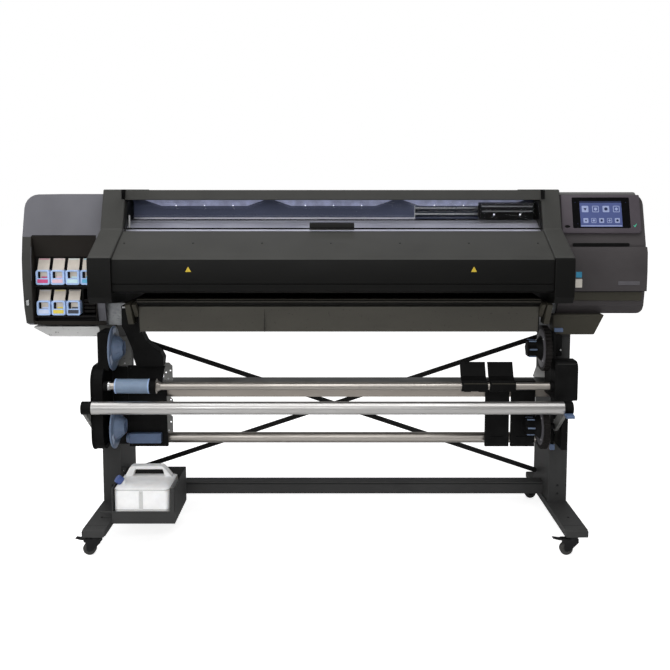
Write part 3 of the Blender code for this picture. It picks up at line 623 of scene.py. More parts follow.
def piece(name, body, material, shape, bevel=0.0, smooth=True, stands_for=()):
    """A new visible piece that rides on a CAD body."""
    mesh = bpy.data.meshes.new(name)
    shape.to_mesh(mesh)
    shape.free()
    mesh.materials.append(MATERIALS[material])
    if smooth:
        mesh.shade_smooth()
        mesh.set_sharp_from_angle(angle=math.radians(32))
    obj = bpy.data.objects.new(name, mesh)
    bpy.context.scene.collection.objects.link(obj)
    if bevel:
        soften(obj, bevel)
    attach(obj, body)
    if stands_for:
        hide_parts(*stands_for)
    return obj


def carve(obj, *shapes):
    """Cuts shapes from a piece for good, so that no cutter is left behind."""
    for shape in shapes:
        mesh = bpy.data.meshes.new("cutter")
        shape.to_mesh(mesh)
        shape.free()
        cutter = bpy.data.objects.new("cutter", mesh)
        bpy.context.scene.collection.objects.link(cutter)
        step = obj.modifiers.new("carve", "BOOLEAN")
        step.operation = "DIFFERENCE"
        step.solver = "EXACT"
        step.object = cutter
        obj.modifiers.move(len(obj.modifiers) - 1, 0)
        with bpy.context.temp_override(object=obj, active_object=obj, selected_objects=[obj]):
            bpy.ops.object.modifier_apply(modifier=step.name)
        bpy.data.objects.remove(cutter)
    return obj


def dress(node, material, bevel=0.8 * MM, segments=2):
    """A CAD node keeps its shape and gets its finish and softer edges."""
    obj = frame["nodes"][node]
    obj.data.materials.clear()
    obj.data.materials.append(MATERIALS[material])
    if bevel:
        weld = obj.modifiers.new("weld", "WELD")
        weld.merge_threshold = 0.01 * MM
        soften(obj, bevel, segments)
    return obj


def screw(name, body, centre, toward, radius=3.2 * MM, height=1.6 * MM, material="screw"):
    """A domed screw head that stands on centre and points toward, with a recess in its crown."""
    dome = [(-0.5 * MM, 0), (-0.5 * MM, radius), (height * 0.4, radius), (height, radius * 0.62)]
    socket = [(height, radius * 0.40), (height * 0.35, radius * 0.36), (height * 0.35, 0)]
    shape = turned(dome + socket, "z", (0, 0, 0), 18)
    turn = Vector(toward).to_track_quat("Z", "Y").to_matrix().to_4x4()
    return piece(name, body, material, moved(shape, Matrix.Translation(centre) @ turn))


# ---- the CAD nodes that keep their shape ----

PLAIN_NODES = {
    "stand": ["left_leg", "right_leg", "stand_crossbeam", "waste_tray"],
    "brace": ["brace_bar_falling", "brace_bar_rising"],
    "cover": ["left_pillar", "right_pillar", "hood"],
    "galvanised": ["chassis_beam"],
    "platen": ["platen"],
    "apron": ["output_apron"],
    "black_cover": ["curing_cover"],
    "beam_cover": ["carriage_rail"],
    "ink_cover": ["ink_shell"],
    "rack": ["ink_rack"],
    "control_cover": ["control_shell", "service_door"],
    "under_cover": ["right_under_cover"],
    "panel": ["display_panel"],
    "gap": ["power_button", "reel_side_plate"],
    "nylon": ["reel_motor_housing", "reel_cradle", "air_duct"],
    "steel": ["tension_arm_left", "tension_arm_right"],
    "aluminium": ["tension_tube"],
    "warm_aluminium": ["deflector_bar", "reel_rail"],
    "beam": ["reel_beam"],
    "roller": ["feed_roller"],
}


def dress_frame():
    for material, nodes in PLAIN_NODES.items():
        for node in nodes:
            dress(node, material)
    for node in frame["nodes"]:
        if node.startswith("guide_") or node == "carriage":
            dress(node, "nylon")
        elif node.startswith("caster_wheel"):
            dress(node, "tread")
        elif node.startswith("caster_fork") or node.startswith("brake_pedal"):
            dress(node, "fork", 0.5 * MM)
        elif node.startswith("cartridge"):
            dress(node, "frame_blue")
        elif node.endswith("left_hub"):
            dress(node, "blue")
        elif node.endswith("right_hub"):
            dress(node, "gear")
    dress("window", "glass", 0)
    dress("waste_bottle", "bottle", 3 * MM, 3)


# ---- covers, hood and pillars ----


def on_line(start, end, along, height=0.0):
    """The y, z point that far along the way from start to end, and that high off its left side."""
    run = (Vector(end) - Vector(start)).normalized()
    off = Vector((-run.y, run.x))
    return tuple(Vector(start) + run * along - off * height)


def make_curing_cover():
    """The sloping cover below the window, and the black front that it leans on."""
    cover = span("curing_cover")
    front, top, bottom = cover.front, cover.top, cover.bottom
    back = cover.back - 4 * MM
    crest = (front + 26 * MM, top - 86 * MM)
    slope = smooth_run([(back, top), crest, (front + 3.5 * MM, top - 99 * MM)], [22 * MM], 8)
    sheet = prism(bent_sheet(slope, 4 * MM), "x", cover.left, cover.right)
    piece("slope_cover", "frame", "cover", sheet, 0.8 * MM, stands_for=["curing_cover"])

    face = [(front + 4 * MM, top - 100 * MM), (front, top - 112 * MM), (front, bottom + 38 * MM)]
    face += [
        (front + 5 * MM, bottom + 37 * MM),
        (front + 5 * MM, bottom + 34 * MM),
        (front + 2 * MM, bottom + 33 * MM),
    ]
    face += [(front + 2 * MM, bottom + 9 * MM), (front + 14 * MM, bottom), (back - 2 * MM, bottom)]
    shape = prism(bent_sheet(face, 4 * MM), "x", cover.left, cover.right)
    piece("curing_face", "frame", "black_cover", shape, 0.9 * MM)
    shade = block(
        (cover.left, front + 18 * MM, bottom + 6 * MM), (cover.right, front + 20 * MM, top - 104 * MM)
    )
    piece("curing_heat_shield", "frame", "galvanised", shade)

    count, pitch = 7, 0.2700
    run = Vector(crest) - Vector((back, top))
    outward = Vector((0, run.y, -run.x)).normalized()
    for i in range(count):
        y, z = on_line((back, top), crest, 0.098, 0.2 * MM)
        screw(f"slope_screw_{i + 1}", "frame", (-0.8256 + pitch * i, y, z), outward, 4.0 * MM, 1.4 * MM)
    for side, x in (("left", -0.558), ("right", 0.528)):
        half, tall = 11.5 * MM, 21 * MM
        corner = [(x - half, top - 0.146), (x + half, top - 0.146), (x, top - 0.146 + tall)]
        mark = prism(rounded(corner, 1.6 * MM, 3), "y", front - 0.5 * MM, front + 0.5 * MM)
        piece(f"heat_mark_{side}", "frame", "yellow", mark, smooth=False)


def make_pillars():
    """The black nose and the parting lines of each pillar."""
    for side in ("left", "right"):
        pillar = span(f"{side}_pillar")
        low, high = pillar.left - 0.5 * MM, pillar.right + 0.5 * MM
        front, floor = pillar.front - 0.8 * MM, pillar.bottom - 0.6 * MM + 22 * MM
        nose = [
            (front + 0.240, floor),
            (front + 0.144, floor),
            (front + 22 * MM, floor + 12 * MM),
            (front + 4 * MM, floor + 37 * MM),
            (front, floor + 177 * MM),
            (front + 5 * MM, floor + 187 * MM),
            (front + 0.240, floor + 187 * MM),
        ]
        piece(f"{side}_pillar_nose", "frame", "black_cover", prism(nose, "x", low, high), 2.5 * MM)
        inner = pillar.right if side == "left" else pillar.left
        line = block(
            (inner - 0.6 * MM, pillar.front + 0.2, 1.383),
            (inner + 0.6 * MM, pillar.back - 0.02, pillar.top + 0.15 * MM),
        )
        piece(f"{side}_pillar_seam", "frame", "gap", line, smooth=False)


def make_hood_details():
    """A fold line, a row of louvres and the rear screws of the hood."""
    hood = span("hood")
    for i in range(9):
        x = hood.left + 0.14 + i * 0.175
        spot = (x, hood.back, 1.080)
        screw(f"hood_rear_screw_{i + 1}", "frame", spot, (0, 1, 0), 4 * MM, 1.8 * MM, "zinc")
    fold = block(
        (hood.left + 2 * MM, hood.back - 0.4 * MM, 1.118), (hood.right - 2 * MM, hood.back + 0.4 * MM, 1.1205)
    )
    piece("hood_rear_seam", "frame", "gap", fold, smooth=False)
    for group, centre in (("left", -0.55), ("right", 0.55)):
        for row in range(8):
            z = 1.165 + row * 0.014
            slot = rounded(rectangle((centre - 0.09, z), (centre + 0.09, z + 5 * MM)), 2.4 * MM, 4)
            shape = prism(slot, "y", hood.back - 1.5 * MM, hood.back + 0.4 * MM)
            piece(f"hood_vent_{group}_{row + 1}", "frame", "gap", shape, smooth=False)


def make_apron():
    """The rounded black nose on top of the apron, its end plates and a joint line."""
    apron = span("output_apron")
    front, top, back = apron.front, apron.top, apron.back
    nose = [
        (back - 0.08, top + 0.8 * MM), (front + 10 * MM, top - 4.6 * MM), (front - 0.8 * MM, top - 15 * MM)
    ]
    nose += [(front + 10 * MM, top - 27 * MM), (front + 36.2 * MM, top - 40.5 * MM)]
    run = smooth_run(nose, [9 * MM, 6 * MM, 4 * MM], 5)
    piece(
        "apron_nose",
        "frame",
        "black_cover",
        prism(bent_sheet(run, 1.2 * MM), "x", apron.left + MM, apron.right - MM),
    )
    for side, x in (("left", apron.left - 3 * MM), ("right", apron.right)):
        cheek = [
            (front + 6 * MM, top - 6 * MM), (front + 2 * MM, top - 18 * MM), (front + 36 * MM, top - 42 * MM)
        ]
        cheek += [(front + 44 * MM, apron.bottom - MM), (back, apron.bottom - MM), (back, top - 4 * MM)]
        piece(f"apron_cheek_{side}", "frame", "black_cover", prism(cheek, "x", x, x + 3 * MM), 0.6 * MM)
    joint = block(
        (-0.2795, front + 37 * MM, apron.bottom + 4 * MM), (-0.2789, front + 46 * MM, top - 50 * MM)
    )
    piece("apron_joint", "frame", "gap", joint, smooth=False)


def make_output_brackets():
    """The angled brackets under the ends of the curing cover, which the apron hangs from."""
    apron = span("output_apron")
    for side, x, way in (("left", apron.left - 45 * MM, 1), ("right", apron.right + 45 * MM, -1)):
        for i, (shift, wide, drop) in enumerate(((0.0, 22 * MM, 0.085), (27 * MM, 17 * MM, 0.055))):
            first = x + way * shift
            second = first + way * wide
            low, high = sorted((first, second))
            outline = [
                (-0.262, 0.9740),
                (-0.246, 0.9800),
                (-0.150, 0.9800),
                (-0.150, 0.9740 - drop),
                (-0.205, 0.9740 - drop),
            ]
            bracket = prism(outline, "x", low, high)
            piece(f"output_bracket_{side}_{i + 1}", "frame", "under_cover", bracket, 2.2 * MM)


# ---- window and print zone ----


def make_window():
    """The smoked pane with its black edge strips and the grip that lifts it."""
    pane = span("window")
    hinge = (frame_joint("window_hinge")[1], frame_joint("window_hinge")[2])
    foot = (hinge[0] - 47 * MM, hinge[1] - 110.5 * MM)
    sheet = prism(bent_sheet([hinge, foot], 3.5 * MM), "x", pane.left, pane.right)
    piece("window_pane", "window", "glass", sheet, stands_for=["window"])
    for side, low in (("left", pane.left), ("right", pane.right - 7 * MM)):
        edge = [
            on_line(hinge, foot, d, -h)
            for d, h in ((1 * MM, -0.6 * MM), (119 * MM, -0.6 * MM), (119 * MM, 4.5 * MM), (1 * MM, 4.5 * MM))
        ]
        piece(f"window_edge_{side}", "window", "gap", prism(edge, "x", low, low + 7 * MM), 0.5 * MM)
    sill = [
        on_line(hinge, foot, d, -h)
        for d, h in (
            (114.5 * MM, -0.6 * MM), (120 * MM, -0.6 * MM), (120 * MM, 4.5 * MM), (114.5 * MM, 4.5 * MM)
        )
    ]
    piece(
        "window_sill_strip",
        "window",
        "gap",
        prism(sill, "x", pane.left + 7 * MM, pane.right - 7 * MM),
        0.5 * MM,
    )
    grip = [(-0.1135, 1.2900), (-0.1300, 1.2870), (-0.1390, 1.2670), (-0.1225, 1.2640)]
    shape = prism(rounded(grip, [1 * MM, 4 * MM, 4 * MM, 1 * MM], 5), "x", -0.102, 0.077)
    piece("window_grip", "window", "black_cover", shape, 1.5 * MM)
    ledge = [(-0.1350, 1.2640), (-0.1395, 1.2645), (-0.1405, 1.2600), (-0.1260, 1.2590)]
    piece("window_grip_ledge", "window", "cover", prism(ledge, "x", -0.102, 0.077), 0.8 * MM)


def frame_joint(name):
    """Where a joint's axis lies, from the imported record."""
    joints = frame["record"]["behaviour"]["joints"]
    return next(j["pos_m"] for j in joints if j["name"] == name)


LAMP_TINT = (0.84, 0.86, 1.0)


def make_print_zone():
    """The lamps, the slate-blue beam cover, the rods of the carriage and the brushed platen."""
    rail = span("carriage_rail")
    face = rail.front
    ends = ((-0.8046, -0.2903), (-0.2614, 0.2490), (0.2780, 0.8009))
    for i, (left, right) in enumerate(ends):
        low, high = 1.3535, 1.3775
        bevel = 78 * MM
        strip = [(left + bevel, low), (right - bevel, low), (right - 8 * MM, high), (left + 8 * MM, high)]
        piece(
            f"lamp_strip_{i + 1}",
            "frame",
            "lamp",
            prism(strip, "y", face - 2.6 * MM, face - 0.5 * MM),
            0.6 * MM,
        )
        middle = (left + right) / 2
        area_light(
            f"print_lamp_{i + 1}",
            (middle, -0.045, high - 5 * MM),
            (middle, -0.03, 1.25),
            (0.60, 0.020),
            0.15,
            LAMP_TINT,
        )
        for k in range(3):
            x = left + bevel + (k + 0.5) * (right - left - 2 * bevel) / 3
            lens = turned(
                [(-1.2 * MM, 0), (-1.2 * MM, 2.6 * MM), (0.8 * MM, 2.6 * MM), (0.8 * MM, 0)],
                "y",
                (x, face - 2.5 * MM, low + 1.5 * MM),
                12,
            )
            piece(f"lamp_lens_{i + 1}_{k + 1}", "frame", "spark", lens)
    backing = block(
        (rail.left, face - 0.5 * MM, rail.top - 12 * MM), (rail.right, face + 3 * MM, rail.top + 14 * MM)
    )
    piece("lamp_backing", "frame", "beam_cover", backing, 0.5 * MM)
    cover_right = 0.3345
    lip = prism(
        [
            (face - 1.6 * MM, rail.bottom - 2 * MM),
            (face - 1.6 * MM, rail.bottom + 4 * MM),
            (face, rail.bottom + 6 * MM),
            (face, rail.bottom - 2 * MM),
        ],
        "x",
        rail.left,
        cover_right,
    )
    piece("beam_cover_lip", "frame", "platen", lip, 0.3 * MM)
    edge = block(
        (cover_right, face - 1.2 * MM, rail.bottom), (cover_right + 2 * MM, face + 10 * MM, rail.top - 8 * MM)
    )
    piece("beam_cover_edge", "frame", "zinc", edge, 0.3 * MM)
    for i, (y, z, radius) in enumerate(
        ((0.080, 1.3440, 6 * MM), (0.080, 1.3180, 6 * MM), (0.070, 1.3310, 2.5 * MM))
    ):
        piece(
            f"carriage_rod_{i + 1}",
            "frame",
            "zinc" if i < 2 else "gap",
            rod("x", (0, y, z), radius, rail.left + MM, rail.right - MM),
        )

    platen = span("platen")
    for i, (y, z) in enumerate(((-0.0215, 1.2930), (-0.0420, 1.2837), (-0.1080, 1.2530))):
        rib = block((platen.left, y - 0.9 * MM, z - MM), (platen.right, y + 0.9 * MM, z + 0.6 * MM))
        piece(f"platen_rib_{i + 1}", "frame", "platen", rib, 0.4 * MM)
    slots = 24
    pitch = (platen.right - platen.left - 0.06) / slots
    for i in range(slots):
        x = platen.left + 0.03 + pitch * (i + 0.5)
        mouth = block((x - 14 * MM, 0.030, 1.2846), (x + 14 * MM, 0.034, 1.2852))
        piece(f"platen_suction_slot_{i + 1}", "frame", "gap", mouth, smooth=False)
    lever = rounded([(-0.0915, 1.2660), (-0.0775, 1.2660), (-0.0775, 1.3180), (-0.0845, 1.3180)], 2 * MM, 3)
    piece("media_edge_lever", "frame", "pale_cover", prism(lever, "x", -0.8370, -0.8325), 0.8 * MM)
    for side, x in (("left", platen.left + 0.5 * MM), ("right", platen.right - 3.5 * MM)):
        wall = prism([(-0.073, 1.300), (-0.073, 1.372), (0.040, 1.372), (0.040, 1.300)], "x", x, x + 3 * MM)
        piece(f"print_zone_wall_{side}", "frame", "gap", wall, smooth=False)


def make_carriage():
    """The print carriage's cover, with raised ribs, a parting line and its two lit lenses."""
    box = span("carriage")
    shell = rounded(
        rectangle((box.front, box.bottom), (box.back, box.top)), [6 * MM, 3 * MM, 3 * MM, 9 * MM], 5
    )
    body = piece(
        "carriage_cover",
        "carriage",
        "gap",
        prism(shell, "x", box.left, box.right),
        1.2 * MM,
        stands_for=["carriage"],
    )
    carve(
        body,
        block(
            (box.left + 0.02, box.front - 5 * MM, box.bottom + 12 * MM),
            (box.right - 0.02, box.front + 4 * MM, box.bottom + 30 * MM),
        ),
    )
    for i, z in enumerate((0.010, 0.034, 0.046, 0.054)):
        rib = block(
            (box.left + 4 * MM, box.front - 0.9 * MM, box.bottom + z),
            (box.right - 4 * MM, box.front + 1 * MM, box.bottom + z + 1.6 * MM),
        )
        piece(f"carriage_rib_{i + 1}", "carriage", "zinc" if i in (1, 3) else "nylon", rib, 0.4 * MM)
    for i in range(2):
        x = box.left + (0.25 + 0.5 * i) * (box.right - box.left)
        lens = turned(
            [(-1 * MM, 0), (-1 * MM, 3.5 * MM), (1 * MM, 3.5 * MM), (1 * MM, 0)],
            "y",
            (x, box.front + 4 * MM, box.bottom + 21 * MM),
            14,
        )
        piece(f"carriage_lens_{i + 1}", "carriage", "spark", lens)


# ---- ink module ----

INK_TONES = {
    "upper_1": ("ink_magenta", "#c4507f"),
    "upper_2": ("ink_light_magenta", "#dcbccb"),
    "upper_3": ("ink_light_cyan", "#c4dfe6"),
    "upper_4": ("ink_cyan", "#67b6dc"),
    "lower_1": ("ink_clear", "#c3cde4"),
    "lower_2": ("ink_yellow", "#ddc95a"),
    "lower_3": ("ink_black", "#43464f"),
}


def faded(code, share=0.62):
    """The same ink printed thin over a warm white card."""
    card = (0xC6, 0xBF, 0xB6)
    ink = [int(code[i:i + 2], 16) for i in (1, 3, 5)]
    return "#" + "".join(f"{round(c * share + k * (1 - share)):02x}" for c, k in zip(card, ink))


def make_cartridges():
    """Each cartridge: a dark body, a card label that leans back, and a pale blue frame with a window."""
    for key, (tone, code) in INK_TONES.items():
        MATERIALS[tone] = printed_card(f"print_{tone}", code, 0.45)
        MATERIALS[f"{tone}_thin"] = printed_card(f"print_{tone}_thin", faded(code), 0.45)
        name = f"cartridge_{key}"
        box = span(name)
        middle = (box.left + box.right) / 2
        half = (box.right - box.left) / 2
        rise = box.bottom + 62 * MM
        shell = [
            (box.front + 34 * MM, box.bottom + MM),
            (box.front + 34 * MM, rise),
            (box.front + 46 * MM, box.top - 2 * MM),
        ]
        shell += [(box.back, box.top - 2 * MM), (box.back, box.bottom + MM)]
        piece(
            f"{name}_body",
            name,
            "rack",
            prism(shell, "x", box.left + 3 * MM, box.right - 3 * MM),
            2 * MM,
            stands_for=[name],
        )
        foot, head = (box.front + 9 * MM, rise - 3 * MM), (box.front + 33 * MM, box.top)
        card = prism(bent_sheet([head, foot], 1.2 * MM), "x", middle - half + 5 * MM, middle + half - 4 * MM)
        piece(f"{name}_label", name, "card", card, 0.3 * MM)
        band = [
            on_line(head, foot, d, h)
            for d, h in ((1 * MM, 0.4 * MM), (7 * MM, 0.4 * MM), (7 * MM, -0.4 * MM), (1 * MM, -0.4 * MM))
        ]
        piece(
            f"{name}_label_band",
            name,
            f"{tone}_thin",
            prism(band, "x", middle - half + 8 * MM, middle + half - 8 * MM),
            smooth=False,
        )

        outline = rounded(
            rectangle((middle - half, box.bottom + MM), (middle + half, rise)),
            [8 * MM, 8 * MM, 10 * MM, 10 * MM],
            6,
        )
        front = piece(
            f"{name}_front", name, "frame_blue", prism(outline, "y", box.front, box.front + 33 * MM), 2.2 * MM
        )
        view_low, view_high = (middle - half + 9 * MM, box.bottom + 28 * MM), (
            middle + half - 9 * MM, rise - 7 * MM
        )
        window = rounded(rectangle(view_low, view_high), 3 * MM, 3)
        carve(front, prism(window, "y", box.front - 5 * MM, box.front + 12 * MM))
        inside = block(
            (view_low[0], box.front + 9 * MM, view_low[1]),
            (view_high[0], box.front + 11.5 * MM, view_high[1]),
        )
        piece(f"{name}_window_back", name, "card", inside, smooth=False)
        pillar = block(
            (view_low[0] + MM, box.front + 4 * MM, view_low[1]),
            (view_low[0] + 8 * MM, box.front + 10 * MM, view_high[1]),
        )
        piece(f"{name}_window_bar", name, "gap", pillar, 0.8 * MM)
        stripe = block(
            (view_low[0] + 13 * MM, box.front + 8 * MM, view_low[1] + MM),
            (view_high[0] - MM, box.front + 9.2 * MM, view_low[1] + 7 * MM),
        )
        piece(f"{name}_window_stripe", name, tone, stripe, smooth=False)
        tag = rounded(
            rectangle(
                (middle - half + 7 * MM, box.bottom + 9 * MM), (middle + half - 7 * MM, box.bottom + 24 * MM)
            ),
            2 * MM,
            3,
        )
        piece(f"{name}_tag", name, tone, prism(tag, "y", box.front - 0.4 * MM, box.front + MM), smooth=False)


def make_ink_module():
    """The bay's lining, shelf and empty slot, the pale pan underneath and the small latch."""
    shell, rack = span("ink_shell"), span("ink_rack")
    first = span("cartridge_upper_1")
    low_row = span("cartridge_lower_1")
    bay_left, bay_right = rack.left - 2 * MM, rack.right + 4 * MM
    for name, z in (("upper", first.bottom), ("lower", low_row.bottom)):
        shelf = [
            (first.front + 6 * MM, z - 8 * MM),
            (first.front + 2 * MM, z - 4 * MM),
            (first.front + 4 * MM, z - 1.2 * MM),
        ]
        shelf += [(rack.front + 34 * MM, z - 1.2 * MM), (rack.front + 34 * MM, z - 10 * MM)]
        piece(
            f"ink_shelf_{name}",
            "frame",
            "rack",
            prism(shelf, "x", bay_left + 2 * MM, bay_right - 4 * MM),
            1.2 * MM,
        )
    lining = [
        (-0.086, 1.2345), (-0.080, 1.2345), (rack.front + 32 * MM, 1.1480), (rack.front + 26 * MM, 1.1460)
    ]
    piece("ink_bay_ceiling", "frame", "bay", prism(lining, "x", bay_left, bay_right), 1 * MM)
    for side, x in (("left", -1.2355), ("right", -0.9745)):
        cheek = [
            (-0.094, 0.8830),
            (-0.101, 1.0600),
            (-0.098, 1.1400),
            (-0.087, 1.2340),
            (-0.040, 1.2340),
            (-0.040, 0.8830),
        ]
        piece(
            f"ink_bay_cheek_{side}",
            "frame",
            "bay",
            prism(inset(cheek, 1.5 * MM), "x", x - MM, x + 1.2 * MM),
            smooth=False,
        )
    # A dark strip along the left edge of the ink shell's front: painted shade for the shade on its curved
    # side edge.
    face = [(-0.0840, 1.2300), (-0.0990, 1.1400), (-0.1000, 1.0600), (-0.0880, 0.9400), (-0.0678, 0.8720)]
    outside = [(y - 1.2 * MM, z) for y, z in face]
    inside = [(y + 3 * MM, z) for y, z in reversed(face)]
    strip = prism(outside + inside, "x", shell.left + 0.5 * MM, shell.left + 36 * MM)
    piece("ink_side_painted_shade_strip", "frame", "cover", strip, 0.8 * MM)
    pan = [(-1.2600, 0.8560), (-1.1840, 0.8140), (-0.9340, 0.8140), (-0.9340, 0.8560)]
    piece("ink_under_pan", "frame", "tray_grey", prism(rounded(pan, 3 * MM, 3), "y", -0.0480, 0.2000), 2 * MM)
    sill = [(-0.0730, 0.8830), (-0.0700, 0.8665), (-0.0600, 0.8665), (-0.0600, 0.8830)]
    piece("ink_bay_sill", "frame", "bay", prism(sill, "x", -1.2400, -0.9420), 1 * MM)
    gap_left = low_row.left + 3 * 61 * MM
    for i in range(4):
        z = low_row.bottom + (8 + i * 15) * MM
        rib = block(
            (gap_left + 4 * MM, rack.front + 30 * MM, z),
            (gap_left + 50 * MM, rack.front + 42 * MM, z + 11 * MM),
        )
        piece(f"empty_slot_rib_{i + 1}", "frame", "gear", rib, 1.2 * MM)
    pan = [(-1.2440, 0.8700), (-1.1600, 0.8255), (-0.9780, 0.8255), (-0.9780, 0.8700)]
    piece(
        "ink_under_pan",
        "frame",
        "pale_cover",
        prism(rounded(pan, [2 * MM, 14 * MM, 3 * MM, 0], 5), "y", 0.0185, 0.3010),
        1.5 * MM,
    )
    hook = [(-0.9800, 0.8650), (-0.9650, 0.8230), (-0.9010, 0.8230), (-0.9010, 0.8650)]
    piece("ink_pan_bracket", "frame", "cover", prism(hook, "y", -0.0645, -0.0560), 1.5 * MM)
    latch = rounded(rectangle((shell.left + 12 * MM, 0.9500), (shell.left + 23 * MM, 0.9720)), 4 * MM, 4)
    piece("ink_door_latch", "frame", "zinc", prism(latch, "y", -0.0975, -0.0890), 1.2 * MM)
    for i in range(6):
        z = 1.02 + i * 0.030
        vent = rounded(rectangle((0.120, z), (0.260, z + 6 * MM)), 2.8 * MM, 4)
        piece(
            f"ink_side_vent_{i + 1}",
            "frame",
            "gap",
            prism(vent, "x", shell.left - 0.4 * MM, shell.left + 1.5 * MM),
            smooth=False,
        )
    for i, (y, z) in enumerate(((0.300, 0.920), (0.300, 1.340), (0.020, 0.920), (0.020, 1.340))):
        screw(f"ink_side_screw_{i + 1}", "frame", (shell.left, y, z), (-1, 0, 0), 4 * MM, 1.6 * MM)


# ---- control module ----


def slant(x, below, height=0.0):
    """A point on the control module's leaning front, that far below its top edge and that high off it."""
    top, foot = Vector((-0.030, 1.405)), Vector((-0.095, 1.200))
    run = (foot - top).normalized()
    outward = Vector((run.y, -run.x))
    place = top + run * below + outward * height
    return Vector((x, place.x, place.y))


def slanted(outline, low, high):
    """An outline of (x, below) points on the leaning front, from one height to another."""
    rings = [[slant(x, below, height) for x, below in outline] for height in (low, high)]
    return loft(rings)


def make_display():
    """The leaning panel with its cover glass, the lit screen with plain symbols, and the power button."""
    panel = span("display_panel")
    left, right = panel.left, panel.right
    body = rounded(rectangle((left, 0.008), (right, 0.171)), [6 * MM, 6 * MM, 16 * MM, 10 * MM], 6)
    rings = [
        [slant(x, b, h) for x, b in inset(body, g)]
        for h, g in ((0.2 * MM, 0), (9 * MM, 0), (12 * MM, 1.2 * MM), (13.4 * MM, 4 * MM))
    ]
    base = piece("panel_body", "frame", "panel", loft(rings), 0.0, stands_for=["display_panel"])
    crown = rounded(rectangle((left - 3 * MM, -0.004), (right - 14 * MM, 0.0075)), [2 * MM, 10 * MM, 0, 0], 4)
    piece("panel_crown", "frame", "crown", slanted(crown, -6 * MM, 9 * MM), 2 * MM)
    button = span("power_button")
    middle = (button.left + button.right) / 2
    glass_low, glass_high = 0.0205, 0.1500
    glass_left, glass_right = left + 45 * MM, left + 279 * MM
    glass = rounded(rectangle((glass_left, glass_low), (glass_right, glass_high)), 4 * MM, 5)
    piece("panel_glass", "frame", "bezel", slanted(glass, 12.5 * MM, 14.2 * MM), 0.6 * MM)
    screen_left, screen_right = glass_left + 31 * MM, glass_right - 33 * MM
    top, foot = glass_low + 23 * MM, glass_high - 5 * MM
    screen = rounded(rectangle((screen_left, top), (screen_right, foot)), 1.5 * MM, 2)
    piece("screen_field", "frame", "screen", slanted(screen, 14.0 * MM, 14.5 * MM), smooth=False)
    bar = rectangle((screen_left, top - 7 * MM), (screen_right, top - 1 * MM))
    piece("screen_bar_top", "frame", "symbol_dark", slanted(bar, 14.0 * MM, 14.5 * MM), smooth=False)
    foot_bar = rectangle((screen_left + 2 * MM, foot - 6 * MM), (screen_right - 2 * MM, foot - 2 * MM))
    piece("screen_bar_foot", "frame", "symbol", slanted(foot_bar, 14.3 * MM, 14.8 * MM), smooth=False)
    make_symbols("upper", 4, screen_left, screen_right, top + 13 * MM, 27 * MM)
    make_symbols("lower", 5, screen_left + 6 * MM, screen_right - 4 * MM, top + 65 * MM, 20 * MM)
    socket = [
        (middle + 11.5 * MM * math.cos(a), 0.143 + 6 * MM * math.sin(a))
        for a in (math.pi * k / 12 for k in range(24))
    ]
    carve(base, slanted(socket, -2 * MM, 20 * MM))
    tick = [
        (right - 31 * MM, 0.1370),
        (right - 27.5 * MM, 0.1420),
        (right - 20 * MM, 0.1310),
        (right - 18 * MM, 0.1325),
    ]
    tick += [(right - 27 * MM, 0.1465), (right - 33 * MM, 0.1390)]
    piece("ready_light", "frame", "teal", slanted(tick, 13.2 * MM, 13.8 * MM), smooth=False)
    for i, (x, b) in enumerate(
        ((glass_left + 13 * MM, 0.042), (glass_left + 20 * MM, 0.132), (glass_right - 14 * MM, 0.042))
    ):
        dot = [
            (x + 1.8 * MM * math.cos(a), b + 1.8 * MM * math.sin(a))
            for a in (math.pi * k / 6 for k in range(12))
        ]
        piece(
            f"panel_sensor_{i + 1}", "frame", "symbol_dark", slanted(dot, 14.0 * MM, 14.6 * MM), smooth=False
        )


def make_symbols(row, count, left, right, top, size):
    """A row of plain square buttons, each with a different simple figure."""
    pitch = (right - left) / count
    for i in range(count):
        x = left + pitch * (i + 0.5)
        plate = rounded(rectangle((x - size / 2, top), (x + size / 2, top + size)), size * 0.12, 3)
        hole = inset(plate, size * 0.10)
        ring = piece(
            f"symbol_{row}_{i + 1}", "frame", "symbol", slanted(plate, 14.2 * MM, 14.9 * MM), smooth=False
        )
        if i % 2:
            carve(ring, slanted(hole, 13 * MM, 16 * MM))
        sides = 3 + (i * 2) % 5
        middle = top + size / 2
        spin = [math.pi * (2 * k / sides + 0.5) for k in range(sides)]
        figure = [(x + size * 0.27 * math.cos(a), middle + size * 0.27 * math.sin(a)) for a in spin]
        tone = "symbol" if i % 2 else "symbol_dark"
        piece(
            f"symbol_{row}_{i + 1}_figure", "frame", tone, slanted(figure, 14.6 * MM, 15.3 * MM), smooth=False
        )


